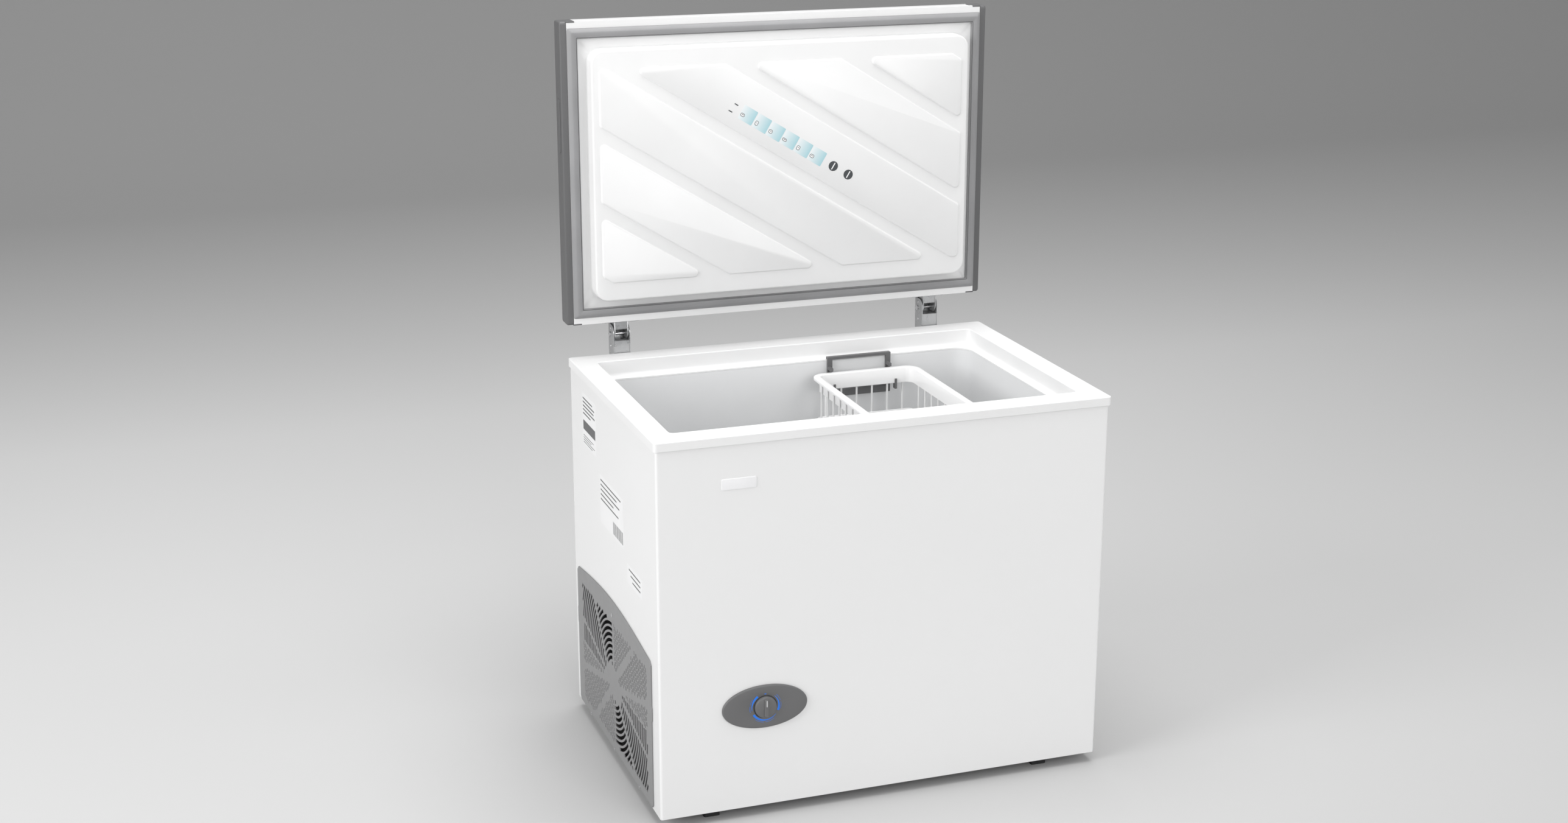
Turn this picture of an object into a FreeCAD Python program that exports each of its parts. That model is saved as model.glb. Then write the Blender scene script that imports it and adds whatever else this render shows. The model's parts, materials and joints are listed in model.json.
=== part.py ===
"""Chest freezer, lid open upright, with a hanging basket and a side machine room.

Frame: millimetres, +X to the right, +Y to the back, +Z up.  The origin is on the floor, in the
middle of the whole object's width and depth.  The lid is modelled in its open position.
"""
import FreeCAD, Part
import math
import os
import re
import Sketcher
from FreeCAD import Placement, Rotation, Vector

doc = FreeCAD.newDocument("ChestFreezer")
sheet = doc.addObject("Spreadsheet::Sheet", "Sizes")

# Driving dimensions, each written once: alias, value, meaning.
SIZES = [
    ("width", 930, "collar and lid width"),
    ("depth", 631, "collar depth, front to back"),
    ("height", 757, "cabinet bottom edge to collar top"),
    ("foot_height", 22, "foot height below the cabinet"),
    ("side_inset", 4, "outer shell inset from the collar edge"),
    ("skin", 1, "sheet metal thickness"),
    ("gap", 0.3, "clearance between neighbouring pieces"),
    ("shell_corner", 5, "outer shell vertical corner radius"),
    ("skirt", 17, "collar skirt height"),
    ("collar_wall", 3, "collar plastic thickness"),
    ("collar_side", 47.5, "collar edge to recess, left and right"),
    ("collar_end", 54.5, "collar edge to recess, front and back"),
    ("collar_corner", 7, "collar outer corner radius"),
    ("opening_corner", 9.5, "recess corner radius"),
    ("mouth_corner", 37.5, "mouth and tub corner radius"),
    ("recess_depth", 36, "collar top down to the ledge"),
    ("ledge", 12.5, "ledge width"),
    ("cove", 9, "radius where the recess wall meets the ledge"),
    ("liner", 1.2, "inner liner thickness"),
    ("floor_wall", 60, "insulated floor thickness"),
    ("machine_width", 245, "machine room width from the shell side"),
    ("machine_height", 322, "machine room height from the cabinet bottom"),
    ("step_wall", 50, "insulation over and beside the machine room"),
    ("coil_space", 9.5, "channel for the evaporator round the liner"),
    ("coil_tube", 4, "evaporator and condenser tube radius"),
    ("condenser_space", 9.5, "channel for the condenser behind the front skin"),
    ("grille_height", 306, "side grille height"),
    ("grille_front", 50, "side grille front edge from the collar front"),
    ("grille_back", 26, "side grille rear edge from the collar back"),
    ("grille_lap", 12, "side grille lap over the shell window"),
    ("grille_sheet", 2.5, "side grille plate thickness"),
    ("grille_rim", 9, "side grille rim depth into the window"),
    ("grille_corner", 14, "side grille corner radius"),
    ("rib_width", 4.5, "side grille rib between slots"),
    ("slot_pitch", 11, "side grille slot pitch"),
    ("bezel_length", 172, "control bezel length"),
    ("bezel_width", 88, "control bezel height"),
    ("bezel_proud", 5, "control bezel thickness"),
    ("dial_inset", 214, "dial axis from the collar's left edge"),
    ("dial_z", 208, "dial axis above the cabinet bottom"),
    ("knob_radius", 22, "dial knob radius"),
    ("knob_length", 10, "dial knob stand-off from the bezel"),
    ("shaft_radius", 3, "thermostat shaft radius"),
    ("shaft_fit", 0.06, "radial clearance of the turning shaft"),
    ("badge_length", 69, "badge plate length"),
    ("badge_height", 22, "badge plate height"),
    ("badge_inset", 164.5, "badge centre from the collar's left edge"),
    ("badge_z", 663, "badge centre above the cabinet bottom"),
    ("pin_back", 29.2, "hinge pin behind the collar"),
    ("pin_rise", 35.2, "hinge pin above the collar top"),
    ("pin_to_skin", 18.8, "hinge pin to the lid's outer skin"),
    ("pin_radius", 3.5, "hinge pin radius"),
    ("pin_fit", 0.06, "radial clearance on the hinge pin"),
    ("hinge_inset", 117, "hinge centre from the collar side"),
    ("channel_width", 36, "hinge channel width"),
    ("channel_wall", 1.6, "hinge channel sheet"),
    ("channel_drop", 232, "hinge channel length below the pin"),
    ("channel_rise", 22, "hinge channel above the pin"),
    ("channel_front", 27.2, "channel front edge ahead of the pin"),
    ("channel_back", 11.8, "channel back face behind the pin"),
    ("arm_sheet", 2, "hinge arm sheet"),
    ("arm_width", 30, "hinge arm width over the cheeks"),
    ("arm_plate", 80, "hinge arm plate length"),
    ("arm_front", 22, "arm plate front edge ahead of the pin"),
    ("arm_back", 8, "arm plate back edge behind the pin"),
    ("cam_base", 9.2, "cam height at the open lid"),
    ("cam_travel", 16, "plunger travel over the lid's quarter turn"),
    ("plunger_height", 30, "plunger head height"),
    ("seat_drop", 150, "spring seat below the pin"),
    ("spring_radius", 9, "counterbalance spring mean radius"),
    ("spring_wire", 1.3, "counterbalance spring wire radius"),
    ("lid_near", 31.3, "lid back end above the pin"),
    ("lid_setback", 6.4, "closed lid's free end behind the collar front"),
    ("lid_thickness", 45, "lid ring face to outer skin"),
    ("cap_width", 14, "grey end cap width"),
    ("cap_inset", 1.5, "end cap inset from the lid width, which its grip takes up"),
    ("edge_band", 14, "white edge profile height"),
    ("gasket_side", 20, "gasket ring width"),
    ("gasket_proud", 8.7, "gasket height on the ring face"),
    ("plug_side", 7, "closed plug to the recess wall, left and right"),
    ("plug_front", 6.4, "closed plug to the recess wall at the front"),
    ("plug_back", 1.1, "closed plug to the recess wall at the hinges"),
    ("plug_proud", 28, "plug beyond the gasket face"),
    ("plug_corner", 28, "plug corner radius"),
    ("plug_wall", 2, "lid inner panel thickness"),
    ("pad_raise", 3, "raised pads on the plug"),
    ("pad_side", 15.5, "pad field to the plug edge, left and right"),
    ("pad_end", 38, "pad field to the plug edge, near and far"),
    ("pad_pitch", 131.4, "pad strip pitch"),
    ("pad_channel", 24, "channel between pad strips"),
    ("pad_angle", 31.7, "fall of the pad strips, degrees"),
    ("basket_width", 241, "basket rim width"),
    ("basket_x", 154.5, "basket centre, across"),
    ("basket_play", 26.5, "basket rim to liner wall, front and back"),
    ("basket_drop", 57, "basket rim top below the collar top"),
    ("basket_depth", 191.5, "basket depth"),
    ("rim_ring", 15, "basket rim flange width"),
    ("rim_lip", 7, "basket rim flange thickness"),
    ("rim_band", 33, "basket rim band height"),
    ("rim_wall", 2.5, "basket rim band thickness"),
    ("rim_corner", 30, "basket rim corner radius"),
    ("wire", 2.2, "basket wire radius"),
    ("wire_pitch", 35, "basket wire pitch"),
    ("wire_bend", 8, "basket wire bend radius"),
    ("mid_ring_drop", 94, "basket middle ring below the rim top"),
    ("hanger_width", 144, "hanger frame width"),
    ("hanger_leg", 11, "hanger leg width"),
    ("hanger_sheet", 5, "hanger frame thickness"),
    ("hanger_bottom", 118, "hanger bottom below the collar top"),
    ("hanger_bar", 13, "hanger lower bar height"),
    ("hook_rise", 5.5, "hanger hook above the ledge"),
    ("shelf_reach", 6, "hanger shelf reach under the rim flange"),
    ("clip_width", 4.5, "basket clip width"),
    ("compressor_inset", 127, "compressor centre from the collar's left edge"),
    ("dome_width", 72, "compressor dome radius, across"),
    ("dome_length", 96, "compressor dome radius along the depth"),
    ("dome_height", 76, "compressor dome radius, upright"),
    ("seam_lip", 4, "compressor weld seam beyond the dome"),
    ("bracket_width", 124, "compressor bracket size, across"),
    ("bracket_length", 210, "compressor bracket size along the depth"),
    ("bracket_rise", 13, "compressor bracket above the cabinet bottom"),
    ("bracket_sheet", 2.2, "compressor bracket thickness"),
    ("bolt_stem", 3.2, "compressor bolt radius"),
    ("bolt_head", 7, "compressor bolt head radius"),
    ("grommet_wall", 2.2, "grommet wall in the bracket hole"),
    ("relay_width", 52, "compressor terminal cover size, across"),
    ("relay_depth", 30, "compressor terminal cover depth"),
    ("relay_height", 62, "compressor terminal cover height"),
    ("bolt_x", 50, "bracket bolts from the compressor centre, across"),
    ("bolt_y", 90, "bracket bolts from the compressor centre, along the depth"),
    ("compressor_y", 250, "compressor centre behind the collar front"),
    ("compressor_rise", 96, "compressor centre above the cabinet bottom"),
    ("foot_inset", 115, "foot centre from the collar side"),
    ("foot_y", 50, "foot centre from the collar front or back"),
    ("foot_length", 40, "foot size along the depth"),
    ("foot_width", 32, "foot size across"),
    ("screw_head", 4, "screw head radius"),
]
for row, (alias, value, meaning) in enumerate(SIZES, start=1):
    sheet.set(f"A{row}", meaning)
    sheet.set(f"B{row}", str(value))
    sheet.setAlias(f"B{row}", alias)
doc.recompute()
ALIASES = {alias for alias, _, _ in SIZES}
# Sizes that follow from the driving ones.
FOLLOWS = {
    "grille_length": "(depth - grille_front - grille_back)",
    "dial_x": "(dial_inset - width / 2)",
    "badge_x": "(badge_inset - width / 2)",
    "compressor_x": "(compressor_inset - width / 2)",
    "hinge_x": "(width / 2 - hinge_inset)",
    "foot_x": "(width / 2 - foot_inset)",
    "lid_length": "(depth + pin_back - lid_near - lid_setback)",
    "plug_start": "(pin_back + collar_end + plug_back)",
    "plug_width": "(width - 2 * collar_side - 2 * plug_side)",
    "plug_length": "(depth - 2 * collar_end - plug_front - plug_back)",
    "pad_length": "(width - 2 * collar_side - 2 * plug_side - 2 * pad_side)",
    "pad_height": "(depth - 2 * collar_end - plug_front - plug_back - 2 * pad_end)",
}
NODES = []


def value(name):
    """The number in one named cell."""
    return float(getattr(sheet, name))


def formula(text):
    """Spell out the sizes that follow, and turn size names into references to the sheet."""
    spelled = re.sub(r"[a-z_]+", lambda m: FOLLOWS.get(m[0], m[0]), text)
    return re.sub(r"[a-z_]+", lambda m: "Sizes." + m[0] if m[0] in ALIASES else m[0], spelled)


# Places that several pieces share, as formulas on the sheet.
KNOB_FRONT = "(bezel_proud + knob_length - side_inset)"
TOTAL_DEPTH = f"(depth + pin_back + pin_to_skin + {KNOB_FRONT})"
FRONT = f"({KNOB_FRONT} - {TOTAL_DEPTH} / 2)"
BACK = f"({FRONT} + depth)"
MIDDLE = f"({FRONT} + depth / 2)"
TOP = "(foot_height + height)"
LEDGE_Z = f"({TOP} - recess_depth)"
LINER_TOP = f"({LEDGE_Z} - collar_wall)"
SHELL_X = "(width / 2 - side_inset)"
SHELL_FRONT = f"({FRONT} + side_inset)"
SHELL_BACK = f"({BACK} - side_inset)"
SHELL_DEPTH = "(depth - 2 * side_inset)"
CAVITY_WIDTH = "(width - 2 * collar_side - 2 * ledge)"
CAVITY_DEPTH = "(depth - 2 * collar_end - 2 * ledge)"
ROOM_X = f"(machine_width - {SHELL_X})"
STEP_X = f"({ROOM_X} + step_wall)"
STEP_Z = "(foot_height + machine_height + step_wall)"
PIN_Y = f"({BACK} + pin_back)"
PIN_Z = f"({TOP} + pin_rise)"
RING_Y = f"({PIN_Y} + pin_to_skin - lid_thickness)"
GASKET_Y = f"({RING_Y} - gasket_proud)"
LID_LOW = f"({PIN_Z} + lid_near)"
LID_HIGH = f"({LID_LOW} + lid_length)"
LID_MIDDLE = f"({LID_LOW} + lid_length / 2)"
CAP_X = "(width / 2 - cap_inset - cap_width)"
GRILLE_Y = f"({FRONT} + grille_front + grille_length / 2)"
GLAND_X = "(compressor_x - 60)"
GLAND_Z = "(foot_height + 60)"
CONDENSER_Y = f"({SHELL_FRONT} + skin + gap + condenser_space / 2)"
CONDENSER_LOW = "(foot_height + 90)"
RISER_Y = f"({MIDDLE} + {CAVITY_DEPTH} / 4)"
RIM_TOP = f"({TOP} - basket_drop)"
BASKET_LENGTH = f"({CAVITY_DEPTH} - 2 * basket_play)"


# ---- helpers -----------------------------------------------------------------------------------
def bind(thing, **formulas):
    """Bind properties of one object to formulas on the sheet."""
    for name, text in formulas.items():
        thing.setExpression(name.replace("__", "."), formula(text))
    return thing


def place(thing, x="0", y="0", z="0"):
    """Bind the place of one object."""
    return bind(thing, Placement__Base__x=x, Placement__Base__y=y, Placement__Base__z=z)


def keep(thing, node):
    """Name a finished piece and list it for writing."""
    thing.Label = node
    NODES.append(thing)
    return thing


def box(name, x, y, z, length, width, height):
    """A box from its lowest corner and its three sizes."""
    made = doc.addObject("Part::Box", name)
    bind(made, Length=length, Width=width, Height=height)
    return place(made, x, y, z)


AXES = {"X": Rotation(Vector(0, 1, 0), 90), "Y": Rotation(Vector(1, 0, 0), -90), "Z": Rotation()}


def cylinder(name, x, y, z, radius, length, axis="Z"):
    """A cylinder that starts at a point and runs along one axis."""
    made = doc.addObject("Part::Cylinder", name)
    made.Placement = Placement(Vector(), AXES[axis])
    bind(made, Radius=radius, Height=length)
    return place(made, x, y, z)


def join(name, pieces):
    """One solid from several that overlap or touch."""
    made = doc.addObject("Part::MultiFuse", name)
    made.Shapes = pieces
    return made


def group(name, pieces):
    """Several separate solids as one object."""
    made = doc.addObject("Part::Compound", name)
    made.Links = pieces
    return made


def cut(name, base, tools):
    """A piece with other pieces taken out of it."""
    made = doc.addObject("Part::Cut", name)
    made.Base = base
    made.Tool = tools[0] if len(tools) == 1 else join(name + "_tools", tools)
    return made


def new_body(name, x="0", y="0", z="0"):
    """An empty body at a bound place."""
    return place(doc.addObject("PartDesign::Body", name), x, y, z)


def new_sketch(body, plane="XY", offset="0", x="0", y="0"):
    """A sketch on one origin plane of its body, moved in and off the plane by formulas."""
    made = body.newObject("Sketcher::SketchObject", body.Name + "_sketch")
    support = [f for f in body.Origin.OriginFeatures if f.Role == plane + "_Plane"][0]
    made.AttachmentSupport = [(support, "")]
    made.MapMode = "FlatFace"
    return bind(made, AttachmentOffset__Base__x=x, AttachmentOffset__Base__y=y,
                AttachmentOffset__Base__z=offset)


def name_size(made, index, name, text):
    """Name one size of a sketch and bind it to the sheet."""
    made.renameConstraint(index, name)
    made.setExpression("Constraints." + name, formula(text))


def rectangle(made, length, width, radius=None, tag=""):
    """A centred rectangle, with round corners if a radius is given."""
    start = made.GeometryCount
    half = 40.0
    bend = 5.0 if radius else 0.0
    inner = half - bend
    ends = [((-inner, -half), (inner, -half)), ((half, -inner), (half, inner)),
            ((inner, half), (-inner, half)), ((-half, inner), (-half, -inner))]
    for a, b in ends:
        made.addGeometry(Part.LineSegment(Vector(*a, 0), Vector(*b, 0)))
    if radius:
        centres = [(inner, -inner), (inner, inner), (-inner, inner), (-inner, -inner)]
        for turn, (x, y) in enumerate(centres):
            circle = Part.Circle(Vector(x, y, 0), Vector(0, 0, 1), bend)
            low = (turn - 1) * math.pi / 2
            made.addGeometry(Part.ArcOfCircle(circle, low, low + math.pi / 2))
    for side in range(4):
        after = start + (side + 1) % 4
        if radius:
            arc = start + 4 + side
            made.addConstraint(Sketcher.Constraint("Tangent", start + side, 2, arc, 1))
            made.addConstraint(Sketcher.Constraint("Tangent", arc, 2, after, 1))
        else:
            made.addConstraint(Sketcher.Constraint("Coincident", start + side, 2, after, 1))
    for side, way in enumerate(("Horizontal", "Vertical", "Horizontal", "Vertical")):
        made.addConstraint(Sketcher.Constraint(way, start + side))
    if radius:
        for arc in range(start + 5, start + 8):
            made.addConstraint(Sketcher.Constraint("Equal", start + 4, arc))
        index = made.addConstraint(Sketcher.Constraint("Radius", start + 4, bend))
        name_size(made, index, "corner" + tag, radius)
        made.addConstraint(Sketcher.Constraint("Symmetric", start + 4, 3, start + 6, 3, -1, 1))
    else:
        made.addConstraint(Sketcher.Constraint("Symmetric", start, 1, start + 1, 2, -1, 1))
    index = made.addConstraint(Sketcher.Constraint("DistanceX", start + 3, 1, start + 1, 1, 2 * half))
    name_size(made, index, "length" + tag, length)
    index = made.addConstraint(Sketcher.Constraint("DistanceY", start, 1, start + 2, 1, 2 * half))
    name_size(made, index, "width" + tag, width)
    return made


def disc(made, radius, tag=""):
    """A circle about the sketch origin."""
    index = made.addGeometry(Part.Circle(Vector(), Vector(0, 0, 1), 5))
    made.addConstraint(Sketcher.Constraint("Coincident", index, 3, -1, 1))
    size = made.addConstraint(Sketcher.Constraint("Radius", index, 5))
    name_size(made, size, "radius" + tag, radius)
    return made


def pad(body, made, length, both=False, back=False):
    """Add the sketch's outline as material."""
    feature = body.newObject("PartDesign::Pad", body.Name + "_pad")
    feature.Profile = made
    feature.Midplane = both
    feature.Reversed = back
    made.Visibility = False
    return bind(feature, Length=length)


def pocket(body, made, length, both=False, back=False):
    """Take the sketch's outline away, and check that it did."""
    doc.recompute()
    before = body.Shape.Volume
    feature = body.newObject("PartDesign::Pocket", body.Name + "_pocket")
    feature.Profile = made
    feature.Midplane = both
    feature.Reversed = back
    bind(feature, Length=length)
    doc.recompute()
    if body.Shape.Volume >= before - 1e-6:
        raise RuntimeError(f"{body.Name}: a pocket takes nothing away")
    return feature


def soften(body, radius, wanted):
    """Round the edges of the body's tip that a test picks."""
    doc.recompute()
    base = body.Tip
    names = [f"Edge{i}" for i, edge in enumerate(base.Shape.Edges, start=1) if wanted(edge)]
    feature = body.newObject("PartDesign::Fillet", body.Name + "_fillet")
    feature.Base = (base, names)
    bind(feature, Radius=radius)
    return feature


def flat_at(edge, axis, level):
    """Whether an edge lies at one level of one axis."""
    box_ = edge.BoundBox
    low, high = (getattr(box_, axis + "Min"), getattr(box_, axis + "Max"))
    return abs(low - level) < 0.01 and abs(high - level) < 0.01


def formed(name, shape, x="0", y="0", z="0"):
    """A shape that only Part's own functions can make, at a bound place."""
    made = doc.addObject("Part::Feature", name)
    made.Shape = shape
    return place(made, x, y, z)


def tube(points, bend, radius):
    """A round tube along straight runs joined by tangent arcs."""
    points = [Vector(*p) for p in points]
    edges = []
    last = points[0]
    for before, corner, after in zip(points, points[1:], points[2:]):
        into = (corner - before).normalize()
        out = (after - corner).normalize()
        turn = into.getAngle(out)
        reach = bend * math.tan(turn / 2)
        start = corner - into * reach
        end = corner + out * reach
        inward = (out - into).normalize()
        middle = corner + inward * (bend / math.cos(turn / 2) - bend)
        if (start - last).Length > 1e-6:
            edges.append(Part.makeLine(last, start))
        edges.append(Part.Arc(start, middle, end).toShape())
        last = end
    edges.append(Part.makeLine(last, points[-1]))
    path = Part.Wire(edges)
    way = (points[1] - points[0]).normalize()
    profile = Part.Wire([Part.makeCircle(radius, points[0], way)])
    return path.makePipeShell([profile], True, True)


# ---- cabinet -----------------------------------------------------------------------------------
def outer_shell():
    """Painted sheet wrap: front and both sides, open at the back, with the side window."""
    tall = f"({TOP} - collar_wall - gap - foot_height)"
    body = new_body("outer_shell_body", "0", MIDDLE, "foot_height")
    outer = rectangle(new_sketch(body, y="shell_corner / 2"), f"2 * {SHELL_X}",
                      f"{SHELL_DEPTH} + shell_corner", "shell_corner")
    pad(body, outer, tall)
    behind = rectangle(new_sketch(body, offset=tall, y=f"{SHELL_DEPTH} / 2 + shell_corner"), "width",
                       "2 * shell_corner")
    pocket(body, behind, tall)
    inner = rectangle(new_sketch(body, offset=tall, y="skin + shell_corner"),
                      f"2 * {SHELL_X} - 2 * skin", f"{SHELL_DEPTH} + 2 * shell_corner",
                      "shell_corner - skin")
    pocket(body, inner, tall)
    window = new_sketch(body, "YZ", f"-{SHELL_X}", f"{GRILLE_Y} - {MIDDLE}", "grille_height / 2")
    pocket(body, rectangle(window, "grille_length - 2 * grille_lap", "grille_height - 2 * grille_lap"),
           "6 * skin", both=True)
    hole = new_sketch(body, "XZ", f"{SHELL_DEPTH} / 2", "dial_x", "dial_z")
    pocket(body, disc(hole, "3 * shaft_radius"), "6 * skin", both=True)
    return keep(body, "outer_shell")


def collar():
    """White top frame: skirt, flat rim, recess wall and the ledge the basket hangs on."""
    body = new_body("top_collar_body", "0", MIDDLE, TOP)
    opening = ("width - 2 * collar_side", "depth - 2 * collar_end")
    pad(body, rectangle(new_sketch(body, offset="-skirt"), "width", "depth", "collar_corner"), "skirt")
    under = rectangle(new_sketch(body, offset="-collar_wall"), "width - 2 * side_inset + 2 * gap",
                      "depth - 2 * side_inset + 2 * gap")
    pocket(body, under, "skirt")
    well = new_sketch(body, offset="-(recess_depth + collar_wall)")
    rectangle(well, opening[0] + " + 2 * collar_wall", opening[1] + " + 2 * collar_wall",
              "opening_corner + collar_wall")
    pad(body, well, "recess_depth + collar_wall")
    pocket(body, rectangle(new_sketch(body), *opening, "opening_corner"), "recess_depth")
    mouth = rectangle(new_sketch(body, offset="-recess_depth"), CAVITY_WIDTH, CAVITY_DEPTH,
                      "mouth_corner")
    pocket(body, mouth, "2 * collar_wall")
    mouth_x = value("width") / 2 - value("collar_side") - value("ledge") + 1
    mouth_y = value("depth") / 2 - value("collar_end") - value("ledge") + 1
    level = -value("recess_depth")

    def cove_edge(edge):
        """The recess wall's foot, which lies outside the mouth of the ledge."""
        outside = any(abs(v.X) > mouth_x or abs(v.Y) > mouth_y for v in edge.Vertexes)
        return flat_at(edge, "Z", level) and outside

    soften(body, "cove", cove_edge)
    soften(body, "collar_wall / 2", lambda edge: flat_at(edge, "Z", 0))
    return keep(body, "top_collar")


def liner_tub():
    """Inner tub with a step over the machine room."""
    body = new_body("inner_liner_body", "0", MIDDLE, "0")
    deep_width = f"({CAVITY_WIDTH} / 2 - {STEP_X})"
    deep_x = f"({CAVITY_WIDTH} / 2 + {STEP_X}) / 2"
    floor_z = "(foot_height + floor_wall)"
    full = (CAVITY_WIDTH, CAVITY_DEPTH, "mouth_corner")
    outer = (f"{CAVITY_WIDTH} + 2 * liner", f"{CAVITY_DEPTH} + 2 * liner", "mouth_corner + liner")
    pad(body, rectangle(new_sketch(body, offset=f"{STEP_Z} - liner"), *outer),
        f"{LINER_TOP} - gap - {STEP_Z} + liner")
    pad(body, rectangle(new_sketch(body, offset=f"{floor_z} - liner", x=deep_x),
                        f"{deep_width} + 2 * liner", outer[1], outer[2]),
        f"{STEP_Z} - {floor_z} + 2 * liner")
    pocket(body, rectangle(new_sketch(body, offset=LINER_TOP), *full), f"{LINER_TOP} - {STEP_Z}")
    pocket(body, rectangle(new_sketch(body, offset=LINER_TOP, x=deep_x), deep_width, full[1], full[2]),
           f"{LINER_TOP} - {floor_z}")
    return keep(body, "inner_liner")


def insulation():
    """Foam between shell and tub, with channels for the tubing."""
    side = f"({SHELL_X} - skin - gap)"
    low = f"({SHELL_FRONT} + skin + gap)"
    deep = f"({SHELL_DEPTH} - 2 * skin - 2 * gap)"
    bottom = "(foot_height + 2 * skin + gap)"
    block = box("foam_block", f"-{side}", low, bottom, f"2 * {side}", deep,
                f"{TOP} - collar_wall - 2 * gap - {bottom}")
    tub_x = f"({CAVITY_WIDTH} / 2 + liner + gap)"
    tub_y = f"({CAVITY_DEPTH} / 2 + liner + gap)"
    floor_z = "(foot_height + floor_wall - liner - gap)"
    well_x = "(width / 2 - collar_side + collar_wall + gap)"
    well_y = "(depth / 2 - collar_end + collar_wall + gap)"
    upper = f"({STEP_Z} - liner - gap)"
    coil_low = f"({STEP_Z} + 2 * coil_space)"
    tools = [
        box("foam_edge_left", f"-{side}", low, "0", "shell_corner", "shell_corner", TOP),
        box("foam_edge_right", f"{side} - shell_corner", low, "0", "shell_corner", "shell_corner", TOP),
        box("foam_tub", f"-{tub_x}", f"{MIDDLE} - {tub_y}", upper, f"2 * {tub_x}", f"2 * {tub_y}", "height"),
        box("foam_deep", f"{STEP_X} - liner - gap", f"{MIDDLE} - {tub_y}", floor_z,
            f"{tub_x} - {STEP_X} + liner + gap", f"2 * {tub_y}", "height"),
        box("foam_well", f"-{well_x}", f"{MIDDLE} - {well_y}", f"{LINER_TOP} - gap", f"2 * {well_x}",
            f"2 * {well_y}", "height"),
        box("foam_room", f"-{side} - skin", f"{low} - skin", "0", f"{side} + {ROOM_X} + skin + gap",
            f"{deep} + 2 * skin", "foot_height + machine_height + gap"),
        box("foam_evaporator", f"-{tub_x} - coil_space", f"{MIDDLE} - {tub_y} - coil_space", coil_low,
            f"2 * {tub_x} + 2 * coil_space", f"2 * {tub_y} + 2 * coil_space",
            f"{LINER_TOP} - coil_space - {coil_low}"),
        box("foam_condenser", ROOM_X, low, "foot_height + 4 * coil_space",
            f"{side} - {ROOM_X} - coil_space", "condenser_space", f"{LEDGE_Z} - 3 * foot_height"),
        cylinder("foam_riser", f"-{tub_x} - coil_space / 2", RISER_Y, "foot_height + machine_height",
                 "coil_tube + 2 * gap", f"{coil_low} - foot_height - machine_height + 1"),
    ]
    return keep(cut("insulation_cut", block, tools), "foam_insulation")


def sheet_work():
    """Back panel, base plate, machine room liner and compressor tray."""
    side = f"({SHELL_X} - skin - gap)"
    tall = f"({TOP} - collar_wall - gap - foot_height)"
    back = box("back_sheet", f"-{side}", f"{SHELL_BACK} - skin", "foot_height", f"2 * {side}", "skin", tall)
    hole = cylinder("back_gland_hole", GLAND_X, f"{SHELL_BACK} - 2 * skin", GLAND_Z, "8 + gap",
                    "4 * skin", "Y")
    keep(cut("back_panel_cut", back, [hole]), "back_panel")
    low = f"({SHELL_FRONT} + skin + gap)"
    deep = f"({SHELL_DEPTH} - 2 * skin - 2 * gap)"
    keep(box("base_sheet", f"{ROOM_X} + gap", low, "foot_height + skin", f"{side} - {ROOM_X} - gap",
             deep, "skin"), "base_plate")
    wall = box("room_wall", f"{ROOM_X} - skin", low, "foot_height + 3 * skin + gap", "skin", deep,
               "machine_height - 3 * skin - gap")
    roof = box("room_roof", f"-{side}", low, "foot_height + machine_height - skin", f"{side} + {ROOM_X}",
               deep, "skin")
    riser = cylinder("room_riser_hole", f"-({CAVITY_WIDTH} / 2 + liner + gap) - coil_space / 2", RISER_Y,
                     "foot_height + machine_height - 3 * skin", "coil_tube + 2 * gap", "5 * skin")
    outlet = cylinder("room_outlet_hole", f"{ROOM_X} - 3 * skin", CONDENSER_Y, CONDENSER_LOW,
                      "coil_tube + 2 * gap", "5 * skin", "X")
    liner = cut("room_cut", join("room_sheets", [wall, roof]), [riser, outlet])
    keep(liner, "machine_room_liner")
    tray = box("tray_sheet", f"-{side}", low, "foot_height + skin", f"{side} + {ROOM_X} - gap", deep,
               "2 * skin")
    slots = [box(f"tray_slot_{i}", "compressor_x - 50", f"{FRONT} + compressor_y + {offset}", "foot_height",
                 "100", "12", "5 * skin") for i, offset in enumerate(("-30", "18"))]
    keep(cut("tray_cut", tray, slots), "compressor_tray")


def feet():
    """Four block feet under the corners, each with its screw."""
    corners = [(x, y) for x in ("foot_x", "-foot_x")
               for y in (f"({FRONT} + foot_y)", f"({BACK} - foot_y)")]
    blocks = []
    for index, (x, y) in enumerate(corners):
        body = new_body(f"foot_{index}", x, y, "0")
        pad(body, rectangle(new_sketch(body), "foot_width", "foot_length", "4"), "foot_height + skin - gap")
        pocket(body, disc(new_sketch(body), "screw_head + 1"), "foot_height / 3", back=True)
        blocks.append(body)
    keep(group("foot_group", blocks), "feet")
    screws = [cylinder(f"foot_screw_{i}", x, y, "foot_height / 6", "screw_head", "foot_height / 6")
              for i, (x, y) in enumerate(corners)]
    keep(group("foot_screw_group", screws), "foot_screws")


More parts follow.
